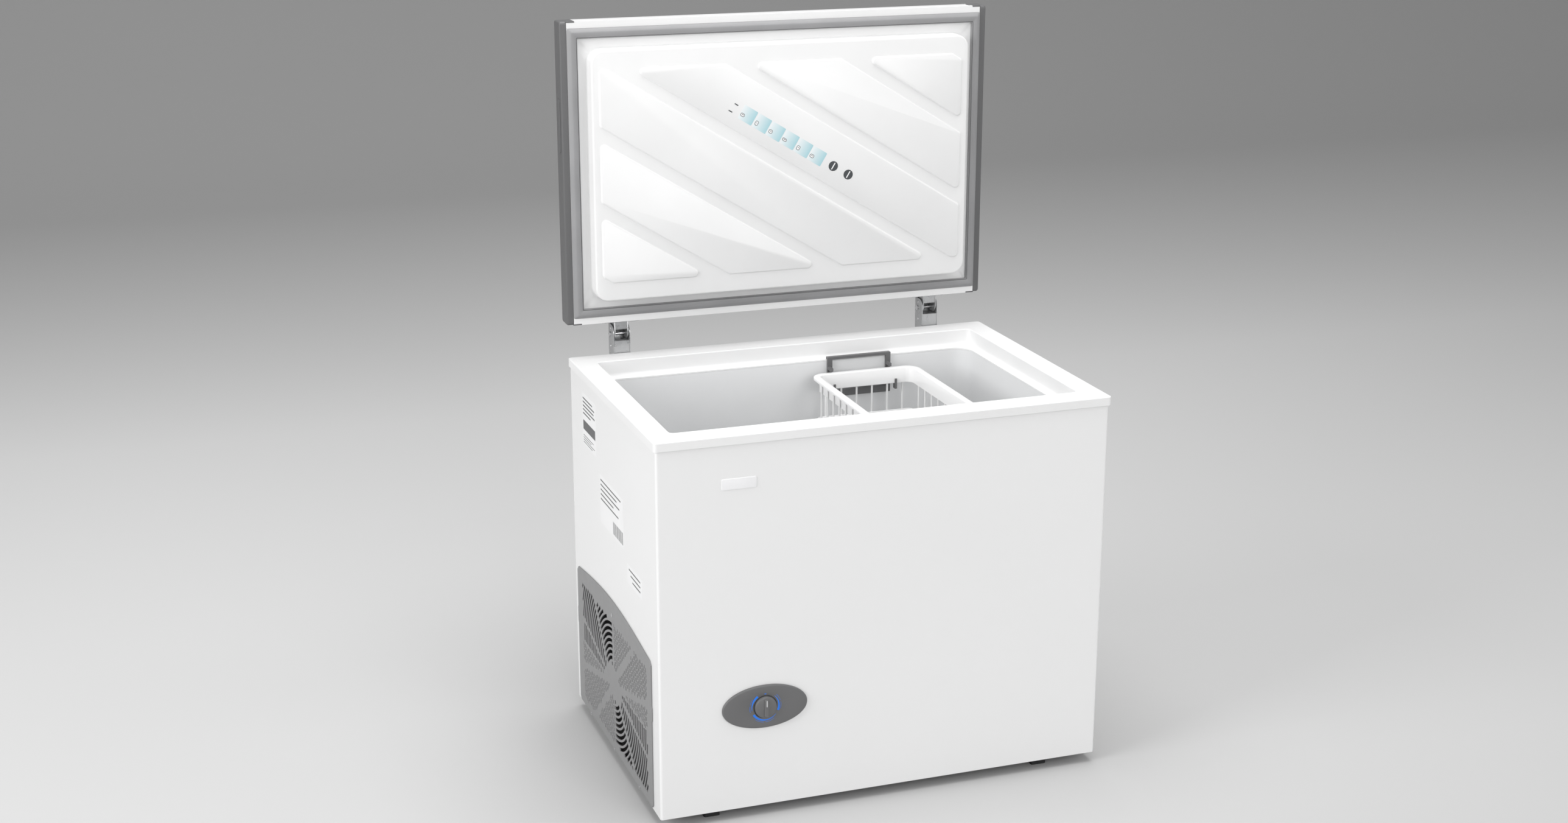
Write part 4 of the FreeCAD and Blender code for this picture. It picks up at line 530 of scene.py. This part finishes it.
def control_panel():
    """Elliptical bezel with a sunk ring, the dial knob with its grip, and the blue level arcs."""
    low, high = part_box("control_bezel")
    middle = Vector(((low.x + high.x) / 2, (low.z + high.z) / 2))
    half = Vector(((high.x - low.x) / 2, (high.z - low.z) / 2))

    def ring(shrink_u, shrink_v, y):
        return upright([p + middle for p in ellipse(half.x - shrink_u * MM, half.y - shrink_v * MM)], y)

    shape = bmesh.new()
    front = low.y
    loops = [ring(0, 0, high.y), ring(0, 0, front + 2.2 * MM), ring(0.5, 0.5, front + 1.0 * MM),
             ring(1.6, 1.6, front + 0.25 * MM), ring(3.0, 3.0, front)]
    for radius, y in ((24.2, 0), (23.6, 0.3), (23.4, 3.0), (4, 3.0)):
        circle = [p + middle for p in ellipse(radius * MM, radius * MM)]
        loops.append(upright(circle, front + y * MM))
    skin(shape, loops)
    piece_from(shape, "bezel_shell", LOOKS["mid_grey_plastic"], "cabinet",
               ("control_bezel",))

    knob_low, knob_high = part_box("thermostat_knob")
    shape = bmesh.new()
    face = front - 6 * MM
    loops = []
    for radius, y in ((21.6, knob_high.y), (21.9, front + 0.5 * MM), (21.8, face + 2 * MM),
                      (21.2, face + 0.9 * MM), (19.6, face)):
        loops.append(upright([p + middle for p in ellipse(radius * MM, radius * MM)], y))
    skin(shape, loops, close_first=True, close_last=True)
    grip = rounded(rectangle((middle.x - 4 * MM, middle.y - 18.5 * MM),
                             (middle.x + 4 * MM, middle.y + 18.5 * MM)), 3.4 * MM, 6)
    top = rounded(rectangle((middle.x - 2.9 * MM, middle.y - 17.2 * MM),
                            (middle.x + 2.9 * MM, middle.y + 17.2 * MM)), 2.4 * MM, 6)
    skin(shape, [upright(grip, face + 0.5 * MM), upright(grip, knob_low.y + 1.2 * MM),
                 upright(top, knob_low.y)], close_last=True)
    piece_from(shape, "knob_shell", LOOKS["mid_grey_plastic"], "dial",
               ("thermostat_knob",))
    shape = bmesh.new()
    line = rounded(rectangle((middle.x - 0.7 * MM, middle.y + 3 * MM),
                             (middle.x + 0.7 * MM, middle.y + 16 * MM)), 0.6 * MM, 3)
    film(shape, line, knob_low.y + 0.3 * MM, knob_low.y - 0.05 * MM)
    piece_from(shape, "knob_pointer", INK["film"], "dial", smooth=False)

    shape = bmesh.new()

    def arc(start, end, radius, first, last):
        outer, inner = [], []
        for step in range(25):
            share = step / 24
            turn = math.radians(start + (end - start) * share)
            half = (first + (last - first) * share) * MM / 2
            way = Vector((math.cos(turn), math.sin(turn)))
            outer.append(middle + way * (radius * MM + half))
            inner.append(middle + way * (radius * MM - half))
        film(shape, outer + inner[::-1], front + 0.1 * MM, front - 0.12 * MM)

    for start, end in ((124, 192), (210, 321), (338, 408)):
        arc(start, end, 27.5, 4.6, 0.5)
    for start, end in ((145, 167), (172, 195), (230, 264), (270, 305), (345, 372), (377, 405)):
        arc(start, end, 31.6, 0.5, 0.5)
    arc(86, 94, 26.6, 1.6, 1.6)
    piece_from(shape, "level_arcs", INK["blue"], "cabinet", smooth=False)


def badge():
    """Blank white plate with a rounded edge at the upper left of the front."""
    low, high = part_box("badge_plate")
    shape = bmesh.new()
    raised(shape, rectangle((low.x, low.z), (high.x, high.z)), 3 * MM,
           lambda loop, rise: upright(loop, high.y - rise),
           [(0, 0), (0, 0.7 * MM), (0.4 * MM, 1.05 * MM), (1.0 * MM, 1.2 * MM)])
    piece_from(shape, "badge_shell", LOOKS["badge_white"], "cabinet", ("badge_plate",))


def side_labels():
    """Three plain paper labels on the left wall, with blocks and bars but no lettering."""
    wall_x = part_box("outer_shell")[0].x
    paper, print_ = bmesh.new(), bmesh.new()

    def patch(shape, low, high, proud, corner=1.0):
        outline = rounded(rectangle([v * MM for v in low], [v * MM for v in high]), corner * MM, 3)
        skin(shape, [sideways(outline, wall_x + 0.1 * MM), sideways(outline, wall_x - proud * MM)],
             close_last=True)

    for low, high in (((96, 622), (202, 732)), ((-100, 494), (74, 596)), ((-227, 434), (-121, 474))):
        patch(paper, low, high, 0.12, 2.0)
    for row, length in enumerate((74, 90, 84, 92, 60)):
        patch(print_, (196 - length, 720 - 8 * row), (196, 723 - 8 * row), 0.16, 0.4)
    patch(print_, (102, 655), (196, 675), 0.16, 0.8)
    for row, length in enumerate((80, 62, 88, 70)):
        patch(print_, (196 - length, 642 - 5 * row), (196, 643.6 - 5 * row), 0.16, 0.4)
    for row, length in enumerate((150, 120, 140, 96, 132)):
        patch(print_, (68 - length, 584 - 10 * row), (68, 587 - 10 * row), 0.16, 0.4)
    for bar in range(18):
        width = 1.6 if bar % 3 else 2.8
        patch(print_, (-94 + 4.1 * bar, 500), (-94 + 4.1 * bar + width, 526), 0.16, 0.3)
    for row in range(3):
        patch(print_, (-214, 464 - 10 * row), (-134 - 12 * row, 467 - 10 * row), 0.16, 0.4)
    piece_from(paper, "side_labels", INK["film"], "cabinet", smooth=False)
    piece_from(print_, "side_label_bars", INK["grey"], "cabinet", smooth=False)


# ---- machine room grille, in millimetres: x is the frame's Y and y is its Z ----------------------
HUB = Vector((-10, 176))
FIELD = ((-257, 40), (235, 310))
SPOKES = [((231, 119), (36, 167)), ((134, 46), (12, 154)), ((-157, 306), (-38, 203)),
          ((-259, 231), (-60, 182))]
RIBS = [((246, 231), (50, 182)), ((135, 306), (34, 191)), ((-256, 117), (-63, 163)),
        ((-159, 43), (-43, 151))]
FIELD_REACH = 330.0
FIRST_ARC, ARC_PITCH, ARC_WIDTH = 40.0, 12.0, 7.2
RIB_HALF, SPOKE_HALF = 2.6, 4.4
COLUMN_SLANT, COLUMN_PITCH, DASH_GAP = math.radians(13), 7.0, 2.8


def in_field(point, margin=0.0):
    """Whether a point in millimetres lies in the perforated field."""
    (low_y, low_z), (high_y, high_z) = FIELD
    return (low_y + margin < point.x < high_y - margin) and (low_z + margin < point.y < high_z - margin)


def in_arc_sector(point):
    """Whether a point lies in the rear upper or the front lower quarter, where the slots are arcs."""
    rear_top = point.x > -6 and point.y > 174
    front_low = point.x < -14 and point.y < 176
    return rear_top or front_low


def off_line(point, line, half):
    """Whether a point is further than a half width from a line that runs out from the hub."""
    start, end = Vector(line[1]), Vector(line[0])
    along = (end - start).normalized()
    reach = (point - start).dot(along)
    if reach < -20:
        return True
    return abs((point - start).dot(Vector((-along.y, along.x)))) > half


def hub_clear(point):
    """Whether a point is outside the solid elongated hub."""
    part = point - HUB
    turned = Vector((part.x * 0.94 + part.y * 0.34, -part.x * 0.34 + part.y * 0.94))
    return (turned.x / 50) ** 2 + (turned.y / 31) ** 2 > 1


def arc_slots():
    """Outlines of the arc slots about the hub."""
    made = []
    radius, half = FIRST_ARC, ARC_WIDTH / 2
    while radius < FIELD_REACH:
        run = []
        steps = int(2 * math.pi * radius / 4)
        for step in range(steps + 2):
            turn = 2 * math.pi * (step % steps) / steps + 0.75 * math.pi
            way = Vector((math.cos(turn), math.sin(turn)))
            outer, inner = HUB + way * (radius + half), HUB + way * (radius - half)
            centre = HUB + way * radius
            free = (in_arc_sector(outer) and in_arc_sector(inner) and in_field(outer, 1)
                    and in_field(inner, 1) and hub_clear(inner)
                    and all(off_line(centre, line, RIB_HALF) for line in RIBS))
            if free and step <= steps:
                run.append((outer, inner))
            elif run:
                if len(run) > 2:
                    made.append([a for a, _ in run] + [b for _, b in reversed(run)])
                run = []
        radius += ARC_PITCH
    return made


def dash_slots():
    """Outlines of the short slots in slanting columns."""
    made = []
    down = Vector((-math.sin(COLUMN_SLANT), -math.cos(COLUMN_SLANT)))
    across = Vector((math.cos(COLUMN_SLANT), -math.sin(COLUMN_SLANT)))
    column = 0
    place = -FIELD_REACH
    while place < FIELD_REACH:
        along = -200.0 + 5 * (column % 2)
        while along < 200:
            length = 5.5 + 3.0 * ((column * 7 + int(along)) % 3) / 2
            start = HUB + across * place + down * along
            corners = [start + across * a + down * b
                          for a, b in ((-1.8, 0), (-1.8, length), (1.8, length), (1.8, 0))]
            free = all(in_field(p, 1) and hub_clear(p) and not in_arc_sector(p)
                       and all(off_line(p, line, SPOKE_HALF) for line in SPOKES) for p in corners)
            middle = sum(corners, Vector((0, 0))) / 4
            if free and not (-16 < middle.x < -3 and middle.y > 205) and not (abs(middle.y - 174) < 4):
                made.append(corners)
            along += length + DASH_GAP
        place += COLUMN_PITCH
        column += 1
    return made


def grille():
    """Grey cover of the machine room: arched top, arc slots and slanting rows of short slots."""
    face_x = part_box("side_grille")[0].x
    outline = [Vector((-284, 33)), Vector((-279, 26)), Vector((264, 26)), Vector((271, 33)),
               Vector((271, 200)), Vector((273.5, 205)), Vector((273.5, 235)), Vector((271, 240)),
               Vector((271, 322)), Vector((262, 331))]
    for step in range(1, 24):
        share = step / 24
        outline.append(Vector((262 - 536 * share, 331 + 22 * math.sin(math.pi * share))))
    outline += [Vector((-276, 331)), Vector((-284, 324)), Vector((-284, 240)), Vector((-286.5, 235)),
                Vector((-286.5, 212)), Vector((-284, 207))]
    edge, front, back = 0.35, face_x, face_x + 2.4 * MM
    shape = bmesh.new()
    flat, rims = [], []
    loops = [(outline, edge)] + [(slot, -edge) for slot in arc_slots() + dash_slots()]
    for corners, shrink in loops:
        wide = inset(corners, shrink)
        rims.append([len(flat) + index for index in range(len(wide))])
        flat += wide
        real = [p * MM for p in corners]
        skin(shape, [sideways([p * MM for p in wide], front), sideways(real, front + edge * MM),
                     sideways(real, back)])
    points, _, faces, _, _, owners = delaunay_2d_cdt(flat, [], rims, 1, 0.0001)
    corners = [shape.verts.new((front, p.x * MM, p.y * MM)) for p in points]
    for face, owner in zip(faces, owners):
        if owner == [0]:
            shape.faces.new([corners[index] for index in face])
    bmesh.ops.remove_doubles(shape, verts=shape.verts, dist=0.00001)
    piece_from(shape, "grille_plate", LOOKS["grille_grey_plastic"], "cabinet",
               ("side_grille",), smooth=False)


# ---- basket ------------------------------------------------------------------------------------
WIRE_RADIUS, WIRE_BEND, WIRE_PITCH = 2.2 * MM, 8 * MM, 35 * MM
WIRE_STEP = 3.9 * MM
RING_DROP = 94 * MM


def basket_rim():
    """White moulded rim: a rounded flange with a thin band inside the wires."""
    low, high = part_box("basket_rim")
    outline = rectangle((low.x, low.y), (high.x, high.y))
    shape = bmesh.new()
    loops = []
    for shrink, drop in ((1.2, 7), (0.2, 6.6), (0, 5.6), (0, 1.8), (0.5, 0.7), (1.8, 0), (13.2, 0),
                         (14.5, 0.5), (15, 1.6), (15, 32.4), (14.4, 33), (13.1, 33), (12.5, 32.4), (12.5, 7)):
        loops.append(level(rounded(inset(outline, shrink * MM), (30 - shrink) * MM, 8), high.z - drop * MM))
    skin(shape, loops, around=True)
    piece_from(shape, "rim_moulding", LOOKS["white_wire"], "basket", ("basket_rim",))


def bent(points, bend, closed=False):
    """A wire's centre line: straight runs with round bends."""
    made = [] if closed else [Vector(points[0])]
    count = len(points)
    for index in range(0 if closed else 1, count if closed else count - 1):
        corner = Vector(points[index])
        into = (corner - Vector(points[index - 1])).normalized()
        out = (Vector(points[(index + 1) % count]) - corner).normalized()
        turn = into.angle(out)
        reach = bend * math.tan(turn / 2)
        start = corner - into * reach
        centre = corner + (out - into).normalized() * (bend / math.cos(turn / 2))
        axis = into.cross(out).normalized()
        for step in range(7):
            made.append(centre + Matrix.Rotation(turn * step / 6, 3, axis) @ (start - centre))
    return made if closed else made + [Vector(points[-1])]


def basket_wires():
    """White coated wires: hoops both ways and a ring half way down, outside the rim's band."""
    low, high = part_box("basket_wires")
    low = low + Vector((WIRE_RADIUS, WIRE_RADIUS, WIRE_RADIUS))
    high = high - Vector((WIRE_RADIUS, WIRE_RADIUS, 0))
    middle = (low + high) / 2
    paths = []
    for index in range(-3, 3):
        x = middle.x + (index + 0.5) * WIRE_PITCH
        paths.append((bent([(x, low.y, high.z), (x, low.y, low.z), (x, high.y, low.z), (x, high.y, high.z)],
                           WIRE_BEND), False))
    floor = low.z + WIRE_STEP
    for index in range(-5, 6):
        y = middle.y + index * WIRE_PITCH
        paths.append((bent([(low.x, y, high.z), (low.x, y, floor), (high.x, y, floor), (high.x, y, high.z)],
                           WIRE_BEND), False))
    ring_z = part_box("basket_rim")[1].z - RING_DROP
    ring = rectangle((low.x + WIRE_STEP, low.y + WIRE_STEP), (high.x - WIRE_STEP, high.y - WIRE_STEP))
    paths.append((bent([(x, y, ring_z) for x, y in ring], WIRE_BEND, closed=True), True))
    wires = bpy.data.curves.new("cage_wires", "CURVE")
    wires.dimensions = "3D"
    wires.bevel_depth = WIRE_RADIUS
    wires.bevel_resolution = 3
    wires.use_fill_caps = True
    for points, closed in paths:
        spline = wires.splines.new("POLY")
        spline.points.add(len(points) - 1)
        for point, where in zip(spline.points, points):
            point.co = (*where, 1)
        spline.use_cyclic_u = closed
        spline.use_smooth = True
    wires.materials.append(LOOKS["white_wire"])
    cage = bpy.data.objects.new("cage_wires", wires)
    bpy.context.scene.collection.objects.link(cage)
    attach(cage, "basket")
    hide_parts("basket_wires")


def hanger_webs():
    """Thin web between the legs of each hanger, above its lower bar."""
    shape = bmesh.new()
    for end, sign in (("back", 1), ("front", -1)):
        low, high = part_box("hanger_" + end)
        liner_low, liner_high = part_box("inner_liner")
        wall = liner_high.y - 1.2 * MM if sign > 0 else liner_low.y + 1.2 * MM
        ends = sorted((wall - sign * 1.2 * MM, wall - sign * 2.8 * MM))
        block(shape, (low.x + 10 * MM, ends[0], low.z + 12 * MM),
              (high.x - 10 * MM, ends[1], low.z + 46 * MM))
    bevelled(shape, 0.4 * MM)
    piece_from(shape, "hanger_webs", LOOKS["hanger_web"], "basket_hangers")


# ---- hinges ------------------------------------------------------------------------------------
def dome(shape, centre, radius, height, axis):
    """A low domed rivet or screw head."""
    rows = []
    other = Vector((0, 0, 1)) if abs(axis.z) < 0.5 else Vector((1, 0, 0))
    u = axis.cross(other).normalized()
    v = axis.cross(u)
    for share, rise in ((1, -0.2), (1, 0.1), (0.86, 0.55), (0.6, 0.86), (0.3, 0.97)):
        rows.append([centre + axis * (height * rise) + (u * math.cos(t) + v * math.sin(t)) * (radius * share)
                     for t in (2 * math.pi * i / 20 for i in range(20))])
    skin(shape, rows, close_last=True)


def rivets():
    """Rivet heads on the hinge channels' cheeks and backs."""
    shape = bmesh.new()
    for side in ("left", "right"):
        low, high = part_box(side + "_hinge_channel")
        middle = (low.x + high.x) / 2
        for x, way in ((middle - 18 * MM, -1), (middle + 18 * MM, 1)):
            for y, z in ((-16, -8), (-2, -24), (-16, -46)):
                centre = Vector((x, high.y + y * MM, high.z + z * MM))
                dome(shape, centre, 2.6 * MM, 1.3 * MM, Vector((way, 0, 0)))
        for drop in (60, 120, 190):
            dome(shape, Vector((middle, high.y, high.z - drop * MM)), 3.2 * MM, 1.4 * MM, Vector((0, 1, 0)))
    piece_from(shape, "hinge_rivets", LOOKS["bright_steel"], "cabinet")


dress_frame()
for edged, edge in (("lid_front_profile", 0.0006), ("lid_back_profile", 0.0006), ("hanger_back", 0.0007),
                    ("hanger_front", 0.0007), ("feet", 0.001), ("terminal_cover", 0.002),
                    ("basket_clips", 0.0005), ("compressor_bracket", 0.0004)):
    soft_edges(edged, edge)
lid_panel()
gasket()
lid_caps()
food_decal()
control_panel()
badge()
side_labels()
grille()
basket_rim()
basket_wires()
hanger_webs()
rivets()


# ---- camera, light and floor -------------------------------------------------------------------
def camera():
    """A 51 mm lens in front of the left corner, a little above the open cabinet."""
    data = bpy.data.cameras.new("camera")
    data.sensor_width = 36
    data.lens = 50.87
    view = bpy.data.objects.new("camera", data)
    view.location = (-1.521, -4.026, 1.989)
    yaw, pitch, roll = math.radians(19.5), math.radians(16.67), math.radians(0.066)
    turn = Matrix.Rotation(-yaw, 4, "Z") @ Matrix.Rotation(math.pi / 2 - pitch, 4, "X")
    view.rotation_euler = (turn @ Matrix.Rotation(roll, 4, "Z")).to_euler()
    bpy.context.scene.collection.objects.link(view)
    bpy.context.scene.camera = view


def area_light(name, place, target, size, power):
    """A square soft light that faces a target."""
    data = bpy.data.lights.new(name, "AREA")
    data.size = size
    data.energy = power
    light = bpy.data.objects.new(name, data)
    light.location = place
    light.rotation_euler = (Vector(target) - Vector(place)).to_track_quat("-Z", "Y").to_euler()
    bpy.context.scene.collection.objects.link(light)


LIGHTS = [
    ("left_key", (-4.6, -1.2, 2.6), 2.6, 165),
    ("front", (0.4, -5.4, 2.6), 3.0, 105),
    ("top", (0.2, 0.1, 4.6), 3.2, 150),
    ("right", (4.0, -1.6, 2.4), 2.6, 30),
]
SURROUND = 0.45


def floor_with_painted_falloff():
    """Matt grey floor with painted light falloff: palest a little way behind the cabinet, darker towards the
    front and up the far wall, standing in for uneven lighting.
    """
    material, tree, principled, place = shader("floor_with_painted_falloff", (0.6, 0.6, 0.6), 0.8)
    split = tree.nodes.new("ShaderNodeSeparateXYZ")
    tree.links.new(place, split.inputs["Vector"])
    spread = tree.nodes.new("ShaderNodeMapRange")
    spread.inputs["From Min"].default_value = -1.0
    spread.inputs["From Max"].default_value = 9.0
    tree.links.new(split.outputs["Y"], spread.inputs["Value"])
    # Painted light falloff: this colour ramp darkens the floor near the front and up the wall and pales it a
    # little behind the cabinet, in place of real light falloff.
    shade = tree.nodes.new("ShaderNodeValToRGB")
    near, far = shade.color_ramp.elements
    near.color, far.color = (0.48, 0.48, 0.48, 1), (0.44, 0.44, 0.44, 1)
    pale = shade.color_ramp.elements.new(0.35)
    pale.color = (0.62, 0.62, 0.62, 1)
    tree.links.new(spread.outputs["Result"], shade.inputs["Fac"])
    tree.links.new(shade.outputs["Color"], principled.inputs["Base Color"])
    relief(tree, principled, noise(tree, place, 60), 0.0001)
    return material


def studio():
    """Pale floor that curves up into a wall, soft lights and a bright surround."""
    middle = (0, 0, 0.6)
    for name, place, size, power in LIGHTS:
        area_light(name, place, middle, size, power)
    world = bpy.data.worlds.new("studio")
    world.use_nodes = True
    world.node_tree.nodes["Background"].inputs["Color"].default_value = (0.9, 0.9, 0.9, 1)
    world.node_tree.nodes["Background"].inputs["Strength"].default_value = SURROUND
    bpy.context.scene.world = world
    bpy.context.scene.view_settings.view_transform = "Standard"

    mesh = bpy.data.meshes.new("studio_floor")
    shape = bmesh.new()
    bend, wall, reach, high = 3.0, 9.0, 14.0, 9.0
    profile = [(-reach, 0), (wall - bend, 0)]
    for step in range(1, 13):
        angle = math.radians(7.5 * step)
        profile.append((wall - bend + bend * math.sin(angle), bend - bend * math.cos(angle)))
    profile.append((wall, high))
    rows = [[shape.verts.new((x, y, z)) for y, z in profile] for x in (-reach, reach)]
    for index in range(len(profile) - 1):
        shape.faces.new((rows[0][index], rows[1][index], rows[1][index + 1], rows[0][index + 1]))
    for face in shape.faces:
        face.smooth = True
    shape.to_mesh(mesh)
    shape.free()
    mesh.materials.append(floor_with_painted_falloff())
    floor = bpy.data.objects.new("studio_floor", mesh)
    bpy.context.scene.collection.objects.link(floor)


camera()
studio()
